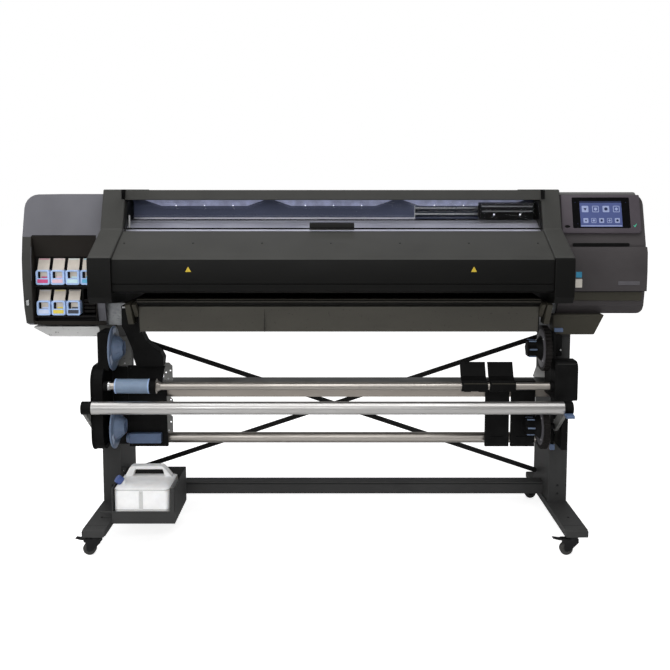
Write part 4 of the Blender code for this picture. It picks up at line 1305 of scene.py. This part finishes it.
def make_control_module():
    """The door's skin and labels, a black strip of painted shade where the grip slot above it lies in shadow,
    and the seams of the lower covers.
    """
    door, shell = span("service_door"), span("control_shell")
    left, right = door.left, door.right
    skin = [
        (door.front + 2 * MM, door.bottom),
        (door.front, door.bottom + 80 * MM),
        (door.front + 4 * MM, door.top - 22 * MM),
    ]
    skin += [(door.back - 1.2 * MM, door.top), (door.back, door.top), (door.back, door.bottom)]
    panel = prism(skin, "x", left, right)
    piece("door_skin", "service_door", "control_cover", panel, 2.0 * MM, stands_for=["service_door"])
    face = door.front + MM
    for name, tone, low, high in (
        ("blue", "sticker_blue", (left + 62 * MM, 1.0670), (left + 86 * MM, 1.0900)),
        ("white", "sticker_white", (left + 61 * MM, 1.0260), (left + 88 * MM, 1.0610)),
    ):
        label = rounded(rectangle(low, high), 1.5 * MM, 3)
        piece(
            f"door_label_{name}",
            "service_door",
            tone,
            prism(label, "y", face - 1.1 * MM, face + 2 * MM),
            smooth=False,
        )
    dot = [
        (left + 12 * MM + 5.5 * MM * math.cos(a), 1.0500 + 6.5 * MM * math.sin(a))
        for a in (math.pi * k / 8 for k in range(16))
    ]
    piece(
        "door_label_dot",
        "service_door",
        "name_plate",
        prism(dot, "y", face - 1.4 * MM, face + MM),
        smooth=False,
    )
    plate = rounded(rectangle((right - 118 * MM, 1.0360), (right - 30 * MM, 1.0520)), 3 * MM, 4)
    piece(
        "door_name_plate",
        "service_door",
        "name_plate",
        prism(plate, "y", face - 1.3 * MM, face + 2 * MM),
        0.3 * MM,
    )
    # A black inset above the door: painted shade, standing for the shadow in the gap between shell and door.
    slot = rounded(
        rectangle((left + 50 * MM, door.top + 2 * MM), (right - 72 * MM, door.top + 15 * MM)), 5 * MM, 5
    )
    piece("door_grip_slot_painted_shade", "frame", "gap", prism(slot, "y", -0.1015, -0.0940), 0.6 * MM)
    for i, z in enumerate((door.bottom - 3 * MM, door.bottom - 44 * MM)):
        seam = block(
            (left - 2 * MM, -0.1000 + i * 9 * MM, z), (right - 12 * MM, -0.0900 + i * 9 * MM, z + 2.4 * MM)
        )
        piece(f"control_seam_{i + 1}", "frame", "gap", seam, smooth=False)
    trim = [
        (-0.1015, door.bottom - 4 * MM),
        (-0.1010, door.bottom - 17 * MM),
        (-0.0985, door.bottom - 39 * MM),
        (-0.0900, door.bottom - 42 * MM),
        (-0.0900, door.bottom - 4 * MM),
    ]
    piece("control_trim", "frame", "under_cover", prism(trim, "x", left, right - 16 * MM), 1.5 * MM)
    lever = rounded(rectangle((0.8930, 0.8440), (0.9290, 0.8600)), 3 * MM, 4)
    piece("reel_latch_tab", "frame", "deep_blue", prism(lever, "y", -0.1180, -0.1060), 1.5 * MM)
    for i in range(6):
        z = 1.02 + i * 0.030
        vent = rounded(rectangle((0.120, z), (0.260, z + 6 * MM)), 2.8 * MM, 4)
        piece(
            f"control_side_vent_{i + 1}",
            "frame",
            "gap",
            prism(vent, "x", shell.right - 1.5 * MM, shell.right + 0.4 * MM),
            smooth=False,
        )
    for i, (y, z) in enumerate(((0.300, 0.960), (0.300, 1.340), (0.020, 0.960), (0.020, 1.340))):
        screw(f"control_side_screw_{i + 1}", "frame", (shell.right, y, z), (1, 0, 0), 4 * MM, 1.6 * MM)


# ---- take-up reel ----


def ring(name, body, material, axis, centre, inner, outer, start, end, bevel=0.5 * MM, steps=32):
    """A plain round sleeve."""
    profile = [(start, inner), (start, outer), (end, outer), (end, inner)]
    return piece(name, body, material, turned(profile, axis, centre, steps), bevel)


def fluted_knob(name, body, centre, radius, length, lobes=6):
    """A hand knob with deep lobes and a pale blue rib on each."""
    steps = lobes * 8
    outline = []
    for k in range(steps):
        angle = 2 * math.pi * k / steps
        reach = radius * (0.90 + 0.10 * math.cos(lobes * angle))
        outline.append((centre[1] + reach * math.cos(angle), centre[2] + reach * math.sin(angle)))
    shape = prism(outline, "x", centre[0] - length, centre[0])
    piece(name, body, "gap", shape, 2.2 * MM)
    cap = [
        (-length - 2.5 * MM, 0),
        (-length - 2.5 * MM, radius * 0.5),
        (-length, radius * 0.72),
        (-length + 3 * MM, 0),
    ]
    piece(f"{name}_cap", body, "nylon", turned(cap, "x", centre, 24))
    ribs = []
    for k in range(lobes):
        angle = 2 * math.pi * (k + 0.0) / lobes
        y, z = centre[1] + radius * math.cos(angle), centre[2] + radius * math.sin(angle)
        ribs.append(
            rod("x", (0, y, z), 3.4 * MM, centre[0] - length + 5 * MM, centre[0] - 6 * MM, 1.5 * MM, 12)
        )
    piece(f"{name}_ribs", body, "blue", merged(*ribs), 0)


def make_left_hubs():
    """Two blue core holders, each with a marked disc, spokes and a toothed cone."""
    for row in ("upper", "lower"):
        body = f"{row}_left_hub"
        box = span(body)
        centre = (0, (box.front + box.back) / 2, (box.bottom + box.top) / 2)
        radius = (box.top - box.bottom) / 2
        left, right = box.left, box.right
        disc = [(left, 0.030), (left, radius - 3 * MM), (left + 3 * MM, radius), (left + 7 * MM, radius)]
        disc += [
            (left + 9 * MM, radius - 4 * MM), (left + 9 * MM, radius * 0.62), (left + 13 * MM, radius * 0.58)
        ]
        disc += [
            (left + 24 * MM, radius * 0.53),
            (right - 8 * MM, radius * 0.40),
            (right, radius * 0.33),
            (right, 0.030),
        ]
        piece(f"{body}_shell", body, "blue", turned(disc, "x", centre, 56), 0.8 * MM, stands_for=[body])
        ring(f"{body}_core", body, "deep_blue", "x", centre, 0.012, 0.0296, left + 4 * MM, right - 5 * MM)
        fins = []
        for k in range(10):
            turn = Matrix.Translation(centre) @ Matrix.Rotation(2 * math.pi * k / 10, 4, "X")
            fin = prism(
                [
                    (left + 24 * MM, radius * 0.50),
                    (right - 9 * MM, radius * 0.36),
                    (right - 9 * MM, radius * 0.42),
                    (left + 25 * MM, radius * 0.56),
                ],
                "y",
                -1.6 * MM,
                1.6 * MM,
            )
            fins.append(moved(fin, turn))
        piece(f"{body}_teeth", body, "blue", merged(*fins), 0.4 * MM)
        arcs = []
        for start in (75, 195, 315):
            sector = arc((centre[1], centre[2]), radius * 0.92, start, start + 34, 8)
            sector += arc((centre[1], centre[2]), radius * 0.70, start + 34, start, 8)
            arcs.append(prism(sector, "x", left + 8.6 * MM, left + 9.6 * MM))
        piece(f"{body}_marks", body, "mark", merged(*arcs))


def make_right_hubs():
    """Two black core holders, each driven by a knurled wheel with a grey disc, a cone and a fluted knob."""
    for row in ("upper", "lower"):
        body = f"{row}_right_hub"
        box = span(body)
        centre = (0, (box.front + box.back) / 2, (box.bottom + box.top) / 2)
        radius = (box.top - box.bottom) / 2
        left, right = box.left, box.right
        teeth = 34
        rim = []
        for k in range(teeth * 2):
            reach = radius - (0 if k % 2 else 4.0 * MM)
            angle = math.pi * k / teeth
            rim.append((centre[1] + reach * math.cos(angle), centre[2] + reach * math.sin(angle)))
        piece(
            f"{body}_wheel",
            body,
            "gear",
            prism(rim, "x", right - 24 * MM, right),
            0.6 * MM,
            stands_for=[body],
        )
        face = [
            (right - 26 * MM, 0),
            (right - 26 * MM, radius * 0.80),
            (right - 24 * MM, radius * 0.84),
            (right - 20 * MM, 0),
        ]
        piece(f"{body}_disc", body, "name_plate", turned(face, "x", centre, 48))
        cone = [
            (left + 30 * MM, 0),
            (left + 30 * MM, 0.024),
            (right - 40 * MM, 0.036),
            (right - 25 * MM, 0.052),
            (right - 24 * MM, 0),
        ]
        piece(f"{body}_cone", body, "nylon", turned(cone, "x", centre, 40))
        fluted_knob(f"{body}_knob", body, (left + 44 * MM, centre[1], centre[2]), 0.0355, 42 * MM)
        screws = 4
        for k in range(screws):
            angle = 2 * math.pi * (k + 0.5) / screws
            spot = (right - 26 * MM, centre[1] + 0.062 * math.cos(angle), centre[2] + 0.062 * math.sin(angle))
            screw(f"{body}_screw_{k + 1}", body, spot, (-1, 0, 0), 3.6 * MM, 1.8 * MM, "zinc")


def make_reel_bars():
    """The blue sleeve and black collars on the deflector bar, and the knobs of the tension arms."""
    bar = span("deflector_bar")
    centre = (0, (bar.front + bar.back) / 2, (bar.bottom + bar.top) / 2)
    ring(
        "deflector_sleeve",
        "frame",
        "sleeve_blue",
        "x",
        centre,
        0.0270,
        0.0292,
        -0.8740,
        -0.7400,
        0.8 * MM,
        40,
    )
    for i, x in enumerate((-0.8765, -0.7445)):
        ring(
            f"deflector_sleeve_end_{i + 1}", "frame", "frame_blue", "x", centre, 0.0270, 0.0303, x, x + 5 * MM
        )
    ring("deflector_collar", "frame", "gap", "x", centre, 0.0290, 0.0315, -0.7385, -0.7120, 1 * MM, 40)
    ring("deflector_stub", "frame", "gap", "x", centre, 0.0150, 0.0210, -0.9235, -0.9060, 1 * MM)
    ring("deflector_washer", "frame", "zinc", "x", centre, 0.0150, 0.0190, -0.9055, -0.8970)
    ring("deflector_bush_right", "frame", "gap", "x", centre, 0.0150, 0.0215, 0.8560, 0.8715)

    tube = span("tension_tube")
    axis = (0, (tube.front + tube.back) / 2, (tube.bottom + tube.top) / 2)
    body = "tension_bar"
    radius = (tube.top - tube.bottom) / 2
    for side, inner, outer in (("left", tube.left, -0.9735), ("right", tube.right, 0.9115)):
        way = -1 if side == "left" else 1
        low, high = sorted((inner - way * 1 * MM, outer + way * 12 * MM))
        ring(f"tension_cap_{side}", body, "gap", "x", axis, radius - 3 * MM, radius + 0.4 * MM, low, high)
        end = outer + way * 14.5 * MM
        knob = [(0, 0), (0, 0.0150), (3 * MM, 0.0225), (9 * MM, 0.0235), (13 * MM, 0.0235), (13 * MM, 0)]
        knob = [(end - way * d, r) for d, r in knob]
        piece(f"tension_knob_{side}", body, "gap", turned(knob, "x", axis, 32), 0.8 * MM)
    tab = rounded([(-0.350, 0.5440), (-0.305, 0.5470), (-0.303, 0.5600), (-0.350, 0.5560)], 3 * MM, 4)
    piece("tension_tab", body, "deep_blue", prism(tab, "x", 0.8900, 0.9220), 1.5 * MM)


SIDE_PLATE = (-0.972, -0.925)  # outer and inner faces


def make_left_reel_frame():
    """The black shields, pale plates, latches and screws around the left hubs."""
    cradle = span("reel_cradle")
    back = cradle.front
    shield = prism(
        rounded(rectangle((-0.9240, 0.3600), (cradle.left - 0.5 * MM, 0.6900)), 8 * MM, 4),
        "y",
        back,
        back + 3 * MM,
    )
    piece("reel_left_shield", "frame", "nylon", shield, 0.8 * MM)
    plates = (
        ((-0.9020, 0.6950), (-0.8460, 0.8150)),
        ((-0.7120, 0.6300), (-0.6760, 0.7060)),
        ((-0.7120, 0.5250), (-0.6760, 0.5640)),
        ((-0.7120, 0.4100), (-0.6780, 0.4900)),
    )
    for i, (low, high) in enumerate(plates):
        cut = 14 * MM
        outline = [
            low, (high[0], low[1]), (high[0], high[1] - cut), (high[0] - cut, high[1]), (low[0], high[1])
        ]
        shape = prism(outline, "y", back + 0.5 * MM, back + 3.5 * MM)
        sheet = piece(f"reel_steel_plate_{i + 1}", "frame", "steel", shape, 0.4 * MM)
        middle_x, middle_z = (low[0] + high[0]) / 2, (low[1] + high[1]) / 2
        holes = []
        for k in (-1, 1):
            spot = (middle_x + k * 9 * MM, 0, middle_z + k * 4 * MM)
            holes.append(rod("y", spot, 3.4 * MM, back - 6 * MM, back + 6 * MM, 0.2 * MM, 14))
        carve(sheet, *holes)
        screw(
            f"reel_plate_screw_{i + 1}",
            "frame",
            (middle_x, back + 0.5 * MM, low[1] + 8 * MM),
            (0, -1, 0),
            3.6 * MM,
            2 * MM,
            "zinc",
        )
    block_low, block_high = (-0.8560, 0.3690), (-0.7240, 0.4110)
    shape = prism(rounded(rectangle(block_low, block_high), 3 * MM, 4), "y", back - 26 * MM, back - 0.5 * MM)
    piece("reel_blue_handle", "frame", "deep_blue", shape, 2.2 * MM)
    cap = rod(
        "x", (0, back - 14 * MM, 0.3900), 20 * MM, block_low[0] - 12 * MM, block_low[0] + MM, 2 * MM, 28
    )
    piece("reel_blue_handle_end", "frame", "blue", cap)
    rib = rounded(rectangle((-0.212, 0.390), (-0.075, 0.400)), 3 * MM, 3)
    piece(
        "reel_side_rib",
        "frame",
        "gap",
        prism(rib, "x", SIDE_PLATE[1] - 0.5 * MM, SIDE_PLATE[1] + 4 * MM),
        1 * MM,
    )
    skirt = [
        (y, z)
        for y, z in rounded(
            rectangle((-0.2275, 0.3725), (-0.0600, 0.7175)), [62 * MM, 20 * MM, 20 * MM, 62 * MM], 8
        )
    ]
    hoop = bent_sheet(skirt + skirt[:1], 3 * MM)
    piece(
        "reel_side_rim",
        "frame",
        "gap",
        prism(hoop, "x", SIDE_PLATE[0] - 0.4 * MM, SIDE_PLATE[0] + 6 * MM),
        0.8 * MM,
    )
    for i, (y, z) in enumerate(((-0.080, 0.430), (-0.195, 0.650), (-0.090, 0.540))):
        screw(
            f"reel_side_screw_{i + 1}", "frame", (SIDE_PLATE[0], y, z), (-1, 0, 0), 4.2 * MM, 2.2 * MM, "zinc"
        )
    duct = span("air_duct")
    lip = block(
        (duct.left + 4 * MM, duct.front - 3 * MM, duct.top - 10 * MM),
        (duct.left + 80 * MM, duct.front + 8 * MM, duct.top - 2 * MM),
    )
    piece("air_duct_collar", "frame", "zinc", lip, 2 * MM)
    for i, z in enumerate((cradle.bottom + 9 * MM, cradle.top - 9 * MM)):
        for k, x in enumerate((cradle.left + 12 * MM, cradle.right - 12 * MM)):
            screw(
                f"cradle_screw_{i + 1}_{k + 1}", "frame", (x, cradle.front, z), (0, -1, 0), 3.4 * MM, 1.8 * MM
            )


def make_right_reel_frame():
    """The bevelled motor cover, its latches, and the small bright brackets beside it."""
    left, right, front, back = 0.8712, 0.9628, -0.2358, -0.1600
    floor, top = 0.5842, 0.7440
    rows = (
        (floor, 16 * MM, 5 * MM),
        (floor + 26 * MM, 3 * MM, 0),
        (top - 30 * MM, 0, 0),
        (top - 12 * MM, 0, 2 * MM),
        (top - 3 * MM, 1 * MM, 11 * MM),
        (top, 3 * MM, 17 * MM),
    )
    rings = []
    for z, pull, slope in rows:
        low, high = (left, front + slope), (right - pull, back)
        outline = rounded([low, (high[0], low[1]), high, (low[0], high[1])], [7 * MM, 10 * MM, 0, 0], 5)
        rings.append([(x, y, z) for x, y in outline])
    piece("motor_cover", "frame", "nylon", loft(rings), 1.2 * MM)
    crown = block(
        (left + 8 * MM, front + 3.2 * MM, top - 10.5 * MM), (right - 10 * MM, front + 5 * MM, top - 8.5 * MM)
    )
    piece("motor_cover_edge", "frame", "cover", crown, 0.6 * MM)
    seam = block(
        (left - 0.5 * MM, front + 0.060, floor + 0.02), (left + 0.4 * MM, front + 0.0625, top - 0.02)
    )
    piece("motor_cover_seam", "frame", "gap", seam, smooth=False)
    pale = rounded([(0.825, 0.644), (0.878, 0.644), (0.878, 0.688), (0.839, 0.688)], 4 * MM, 4)
    piece("reel_right_pale_cover", "frame", "pale_cover", prism(pale, "y", -0.0585, -0.0430), 1.5 * MM)
    tab = rounded(rectangle((0.8880, 0.3500), (0.9080, 0.3740)), 3 * MM, 4)
    piece("reel_release_tab", "frame", "deep_blue", prism(tab, "y", -0.1120, -0.0960), 1.5 * MM)
    stem = prism(rounded(rectangle((0.8920, 0.3740), (0.9040, 0.4600)), 2 * MM, 3), "y", -0.1060, -0.0990)
    piece("reel_release_stem", "frame", "nylon", stem, 1 * MM)
    for i, (x, z) in enumerate(((0.9150, 0.4060), (0.9240, 0.4280), (0.9120, 0.4500))):
        link = prism(rounded(rectangle((x, z), (x + 7 * MM, z + 20 * MM)), 2 * MM, 3), "y", -0.0760, -0.0700)
        piece(f"reel_link_{i + 1}", "frame", "zinc", link, 0.6 * MM)
    hanger = rounded(rectangle((0.8950, 0.7450), (0.9260, 0.8330)), 6 * MM, 4)
    piece("reel_right_hanger", "frame", "nylon", prism(hanger, "y", -0.1180, -0.0590), 1.5 * MM)
    screw("reel_right_hanger_screw", "frame", (0.9200, -0.1180, 0.7700), (0, -1, 0), 4 * MM, 2 * MM, "zinc")


def make_guides():
    """Folded lips and feet on the media guides that slide along the reel, and a pale ridge on each clip that
    is a painted highlight.
    """
    for name in ("guide_plate_a", "guide_plate_b"):
        box = span(name)
        lip = prism(
            [
                (box.front - 1.4 * MM, box.top - 6 * MM),
                (box.front - 1.4 * MM, box.top),
                (box.front + 2 * MM, box.top),
                (box.front + 2 * MM, box.top - 6 * MM),
            ],
            "x",
            box.left + MM,
            box.right - MM,
        )
        piece(f"{name}_lip", name, "gap", lip, 0.5 * MM)
        slide = block(
            (box.left + 20 * MM, box.front - 2.2 * MM, box.bottom + 40 * MM),
            (box.right - 20 * MM, box.front + MM, box.bottom + 43 * MM),
        )
        piece(f"{name}_fold", name, "gap", slide, 0.5 * MM)
        for i, x in enumerate((box.left + 8 * MM, box.right - 8 * MM)):
            screw(
                f"{name}_screw_{i + 1}",
                name,
                (x, box.front, box.bottom + 12 * MM),
                (0, -1, 0),
                3.2 * MM,
                1.6 * MM,
            )
    for name in ("guide_clip_a", "guide_clip_b"):
        box = span(name)
        width = box.right - box.left
        bar = rounded(
            rectangle((box.left + 2 * MM, 0.6210), (box.right - 2 * MM, 0.6660)),
            [9 * MM, 5 * MM, 3 * MM, 3 * MM],
            5,
        )
        shell = piece(
            f"{name}_shell",
            name,
            "nylon",
            prism(bar, "y", box.front - 1.5 * MM, box.front + 3 * MM),
            1.6 * MM,
        )
        carve(
            shell,
            block(
                (box.left + width * 0.34, box.front - 9 * MM, 0.6150),
                (box.left + width * 0.62, box.front + 9 * MM, 0.6290),
            ),
        )
        # A lighter ridge on the black clip: painted highlight, a pale stripe for the light caught along its
        # front.
        ridge = block(
            (box.left + 6 * MM, box.front - 2.8 * MM, 0.6530), (box.right - 6 * MM, box.front, 0.6562)
        )
        piece(f"{name}_painted_highlight_ridge", name, "under_cover", ridge, 0.6 * MM)


# ---- stand and waste bottle ----


FOOT_BOTTOM, FOOT_TOP = 0.082, 0.110


def make_stand_details():
    """End caps and screws of the feet, the folded lip of the crossbeam, and the hubs of the casters."""
    beam = span("stand_crossbeam")
    lip = block(
        (beam.left + MM, beam.front - 1.2 * MM, beam.top - 9 * MM),
        (beam.right - MM, beam.front + MM, beam.top - 6.5 * MM),
    )
    piece("crossbeam_fold", "frame", "gap", lip, 0.4 * MM)
    for side, way in (("left", -1), ("right", 1)):
        leg = span(f"{side}_leg")
        low, high = sorted((0.8925 * way, 0.9795 * way))
        cap = rounded(rectangle((low, FOOT_BOTTOM + 0.4 * MM), (high, FOOT_TOP - 0.6 * MM)), 4 * MM, 4)
        for end, y in (("front", leg.front - 1.8 * MM), ("rear", leg.back - 1.0 * MM)):
            piece(f"{side}_foot_cap_{end}", "frame", "stand", prism(cap, "y", y, y + 2.8 * MM), 1 * MM)
        joint = block(
            (low + MM, leg.front + 52 * MM, FOOT_TOP - 0.4 * MM),
            (high - MM, leg.front + 53.2 * MM, FOOT_TOP + 0.15 * MM),
        )
        piece(f"{side}_foot_joint", "frame", "gap", joint, smooth=False)
        for i, y in enumerate((-0.235, 0.280)):
            screw(
                f"{side}_foot_screw_{i + 1}",
                "frame",
                (0.9370 * way, y, FOOT_TOP),
                (0, 0, 1),
                5 * MM,
                2.6 * MM,
            )
        weld = block(
            (low + 4 * MM, -0.0580, FOOT_TOP - 0.4 * MM), (high - 4 * MM, -0.0550, FOOT_TOP + 2.5 * MM)
        )
        piece(f"{side}_foot_weld", "frame", "stand", weld, 1 * MM)
        for i, z in enumerate((0.1450, 0.1800)):
            screw(
                f"{side}_beam_screw_{i + 1}",
                "frame",
                (0.9380 * way, -0.0550, z),
                (0, -1, 0),
                4.5 * MM,
                2.0 * MM,
            )
        for i, z in enumerate((0.3300, 0.7900)):
            screw(
                f"{side}_leg_screw_{i + 1}",
                "frame",
                (0.9760 * way, 0.0800, z),
                (way, 0, 0),
                5 * MM,
                2.4 * MM,
                "zinc",
            )
    for end in ("front", "rear"):
        for side in ("left", "right"):
            place = f"{end}_{side}"
            wheel = span(f"caster_wheel_{place}")
            middle = (
                (wheel.left + wheel.right) / 2, (wheel.front + wheel.back) / 2, (wheel.bottom + wheel.top) / 2
            )
            for i, y in enumerate((wheel.front - 0.6 * MM, wheel.back + 0.6 * MM)):
                toward = (0, -1, 0) if i == 0 else (0, 1, 0)
                screw(
                    f"caster_cap_{place}_{i + 1}",
                    f"wheel_{place}",
                    (middle[0], y, middle[2]),
                    toward,
                    7.5 * MM,
                    1.6 * MM,
                    "fork",
                )


def bottle_level(sides, z, pull_x, pull_y, radius):
    """One level of the bottle's round-cornered body, drawn in from its sides."""
    left, front, right, back = sides
    outline = rounded(rectangle((left + pull_x, front + pull_y), (right - pull_x, back - pull_y)), radius, 7)
    return [(x, y, z) for x, y in outline]


def make_waste_bottle():
    """A blow-moulded bottle with a moulded handle, parting lines, a level window and a tilted blue cap."""
    name = "waste_bottle"
    box = span(name)
    sides = (box.left, box.front, box.right + 5 * MM, box.back)
    left, front, right, back = sides
    floor = box.bottom
    shoulder = floor + 0.134
    ridge = shoulder + 10 * MM
    levels = (
        (0, floor, 8 * MM, 8 * MM, 12 * MM),
        (0, floor + 5 * MM, 1.5 * MM, 1.5 * MM, 18 * MM),
        (0, floor + 14 * MM, 0, 0, 20 * MM),
        (10 * MM, shoulder - 16 * MM, 0, 0, 20 * MM),
        (26 * MM, shoulder, 2 * MM, 2 * MM, 20 * MM),
        (32 * MM, shoulder + 3 * MM, 6 * MM, 8 * MM, 20 * MM),
        (36 * MM, shoulder + 7 * MM, 14 * MM, 30 * MM, 22 * MM),
        (40 * MM, ridge, 24 * MM, 56 * MM, 24 * MM),
        (40 * MM, ridge + 1 * MM, 44 * MM, 66 * MM, 20 * MM),
    )
    rings = [bottle_level((left, front, right, back - cut), *level) for cut, *level in levels]
    body = piece("bottle_body", name, "bottle", loft(rings), stands_for=[name])
    window_left, window_right = left + 99 * MM, left + 117 * MM
    window_foot, window_head = floor + 54 * MM, shoulder - 7 * MM
    groove = rounded(rectangle((window_left, window_foot), (window_right, window_head)), 2 * MM, 3)
    carve(body, prism(groove, "y", front - 4 * MM, front + 2.2 * MM))
    rail = rectangle((window_left + 2 * MM, window_foot + MM), (window_right - 2 * MM, window_head - MM))
    piece(
        "bottle_level_window",
        name,
        "tray_grey",
        prism(rail, "y", front + 0.6 * MM, front + 2.8 * MM),
        0.6 * MM,
    )
    for i, z in enumerate((floor + 51 * MM, shoulder - 4 * MM)):
        line = (left, front, right, back - 24 * MM * i)
        low = bottle_level(line, z, -0.7 * MM, -0.7 * MM, 20 * MM)
        high = bottle_level(line, z + 1.6 * MM, -0.7 * MM, -0.7 * MM, 20 * MM)
        piece(f"bottle_parting_{i + 1}", name, "pale_cover", loft([low, high]), 0.4 * MM)

    top = floor + 0.1840
    outer = [
        (left + 9 * MM, shoulder), (left + 36 * MM, top), (right - 50 * MM, top), (right - 10 * MM, shoulder)
    ]
    outer = rounded(outer, [0, 20 * MM, 22 * MM, 0], 8)
    hole_foot, hole_head = ridge - 12 * MM, top - 14 * MM
    hole = [
        (left + 42 * MM, hole_foot),
        (left + 56 * MM, hole_head),
        (right - 52 * MM, hole_head),
        (right - 42 * MM, hole_foot),
    ]
    middle = back - 66 * MM
    handle = prism(outer, "y", middle - 21 * MM, middle + 21 * MM)
    grip = piece("bottle_handle", name, "bottle", handle)
    carve(grip, prism(rounded(hole, [0, 5 * MM, 5 * MM, 0], 4), "y", front, back))
    soften(grip, 7 * MM, 4)

    place = Matrix.Translation((left + 23 * MM, front + 52 * MM, shoulder + 13 * MM))
    lean = place @ Matrix.Rotation(math.radians(-46), 4, "Y") @ Matrix.Rotation(math.radians(16), 4, "X")
    neck = turned([(-8 * MM, 0), (-8 * MM, 13 * MM), (8 * MM, 13 * MM), (8 * MM, 0)], "z", (0, 0, 0), 36)
    piece("bottle_neck", name, "bottle", moved(neck, lean), 0.8 * MM)
    grips = 26
    outline = []
    for k in range(grips * 2):
        reach = 16.5 * MM - (0 if k % 2 else 1.0 * MM)
        outline.append((reach * math.cos(math.pi * k / grips), reach * math.sin(math.pi * k / grips)))
    rows = ((3 * MM, 1.0), (25 * MM, 1.0), (28 * MM, 0.90))
    cap = loft([[(x * scale, y * scale, z) for x, y in outline] for z, scale in rows])
    piece("bottle_cap", name, "cap_blue", moved(cap, lean), 0.4 * MM)


def make_waste_tray():
    """The tray's rolled rim and its screws."""
    tray = span("waste_tray")
    rim = block(
        (tray.left, tray.back - 3 * MM, tray.top - 3 * MM),
        (tray.right, tray.back + 0.6 * MM, tray.top + 0.6 * MM),
    )
    piece("tray_rear_rim", "frame", "stand", rim, 1.2 * MM)
    front = block(
        (tray.left, tray.front - 0.6 * MM, tray.bottom + 46 * MM),
        (tray.right, tray.front + 3 * MM, tray.bottom + 50.6 * MM),
    )
    piece("tray_front_rim", "frame", "stand", front, 1.2 * MM)
    lip_top = 0.155
    flange = block(
        (tray.right - 19 * MM, tray.front, lip_top - 2 * MM), (tray.right, tray.front + 2.4 * MM, tray.top)
    )
    piece("tray_corner_flange", "frame", "stand", flange, 0.8 * MM)
    for i, x in enumerate((tray.left + 30 * MM, tray.right - 30 * MM)):
        screw(
            f"tray_screw_{i + 1}",
            "frame",
            (x, tray.back, tray.top - 20 * MM),
            (0, 1, 0),
            4 * MM,
            2 * MM,
            "zinc",
        )


# ---- floor, light and camera ----


def make_stage():
    floor_mesh = bpy.data.meshes.new("floor")
    half = 30.0
    floor_mesh.from_pydata(
        [(-half, -half, 0), (half, -half, 0), (half, half, 0), (-half, half, 0)], [], [(0, 1, 2, 3)]
    )
    floor_mesh.materials.append(pale_floor())
    floor = bpy.data.objects.new("floor", floor_mesh)
    bpy.context.scene.collection.objects.link(floor)


def pale_floor():
    """Matt white studio vinyl, a touch uneven, lit from below so that it runs into the white room."""
    material, tree, shader = new_material("studio_floor_white", Specular_IOR_Level=0.1)
    seen = add_node(tree, "LightPath").outputs["Is Camera Ray"]
    glow = add_node(tree, "Math", {"operation": "MULTIPLY"}, i0=seen)
    glow.inputs[1].default_value = 0.78
    shader.inputs["Emission Color"].default_value = (1.0, 1.0, 1.0, 1.0)
    tree.links.new(glow.outputs[0], shader.inputs["Emission Strength"])
    cloud = noise(tree, place_of(tree), 0.8, 2.0)
    body = mix(tree, between(tree, cloud, 0.0, 1.0), colour("#f7f7f7"), colour("#fbfbfb"))
    tree.links.new(body, shader.inputs["Base Color"])
    shader.inputs["Roughness"].default_value = 0.9
    return material


def area_light(name, place, aim, size, power, tint=(1.0, 1.0, 1.0)):
    lamp = bpy.data.lights.new(name, "AREA")
    lamp.shape = "RECTANGLE"
    lamp.size, lamp.size_y = size
    lamp.energy = power
    lamp.color = tint
    obj = bpy.data.objects.new(name, lamp)
    obj.visible_camera = False
    obj.location = place
    obj.rotation_euler = (Vector(aim) - Vector(place)).to_track_quat("-Z", "Y").to_euler()
    bpy.context.scene.collection.objects.link(obj)


def make_light():
    """A white room with three large soft boxes: one above, one in front and one at the left."""
    world = bpy.data.worlds.new("studio")
    world.use_nodes = True
    bpy.context.scene.world = world
    tree = world.node_tree
    seen = add_node(tree, "Background", {"Color": (1, 1, 1, 1), "Strength": 1.0})
    felt = add_node(tree, "Background", {"Color": (1, 1, 1, 1), "Strength": 0.32})
    to_lens = add_node(tree, "LightPath").outputs["Is Camera Ray"]
    blend = add_node(tree, "MixShader", None, Fac=to_lens, i1=felt.outputs[0], i2=seen.outputs[0])
    tree.links.new(blend.outputs[0], tree.nodes["World Output"].inputs["Surface"])
    area_light("overhead_box", (-0.3, -0.9, 3.6), (0, 0, 1.0), (4.2, 1.8), 85)
    area_light("front_box", (-0.6, -4.6, 2.6), (0, 0, 0.9), (3.5, 1.6), 70)
    area_light("left_box", (-3.6, -1.6, 1.8), (0, 0, 0.9), (1.2, 2.2), 30)
    bpy.context.scene.view_settings.view_transform = "Standard"


def make_camera():
    """Level with the hood's top, 3.6 m in front, tipped down a little."""
    camera = bpy.data.cameras.new("camera")
    camera.sensor_width = 36.0
    camera.lens = 46.8
    camera.shift_y = -0.0896
    obj = bpy.data.objects.new("camera", camera)
    obj.location = (0.0, -3.625, 1.42)
    obj.rotation_euler = (math.radians(90 - 5.574), 0, 0)
    bpy.context.scene.collection.objects.link(obj)
    bpy.context.scene.camera = obj


def main():
    dress_frame()
    make_curing_cover()
    make_pillars()
    make_hood_details()
    make_apron()
    make_output_brackets()
    make_window()
    make_print_zone()
    make_carriage()
    make_cartridges()
    make_ink_module()
    make_display()
    make_control_module()
    make_left_hubs()
    make_right_hubs()
    make_reel_bars()
    make_left_reel_frame()
    make_right_reel_frame()
    make_guides()
    make_stand_details()
    make_waste_bottle()
    make_waste_tray()
    make_stage()
    make_light()
    make_camera()


main()
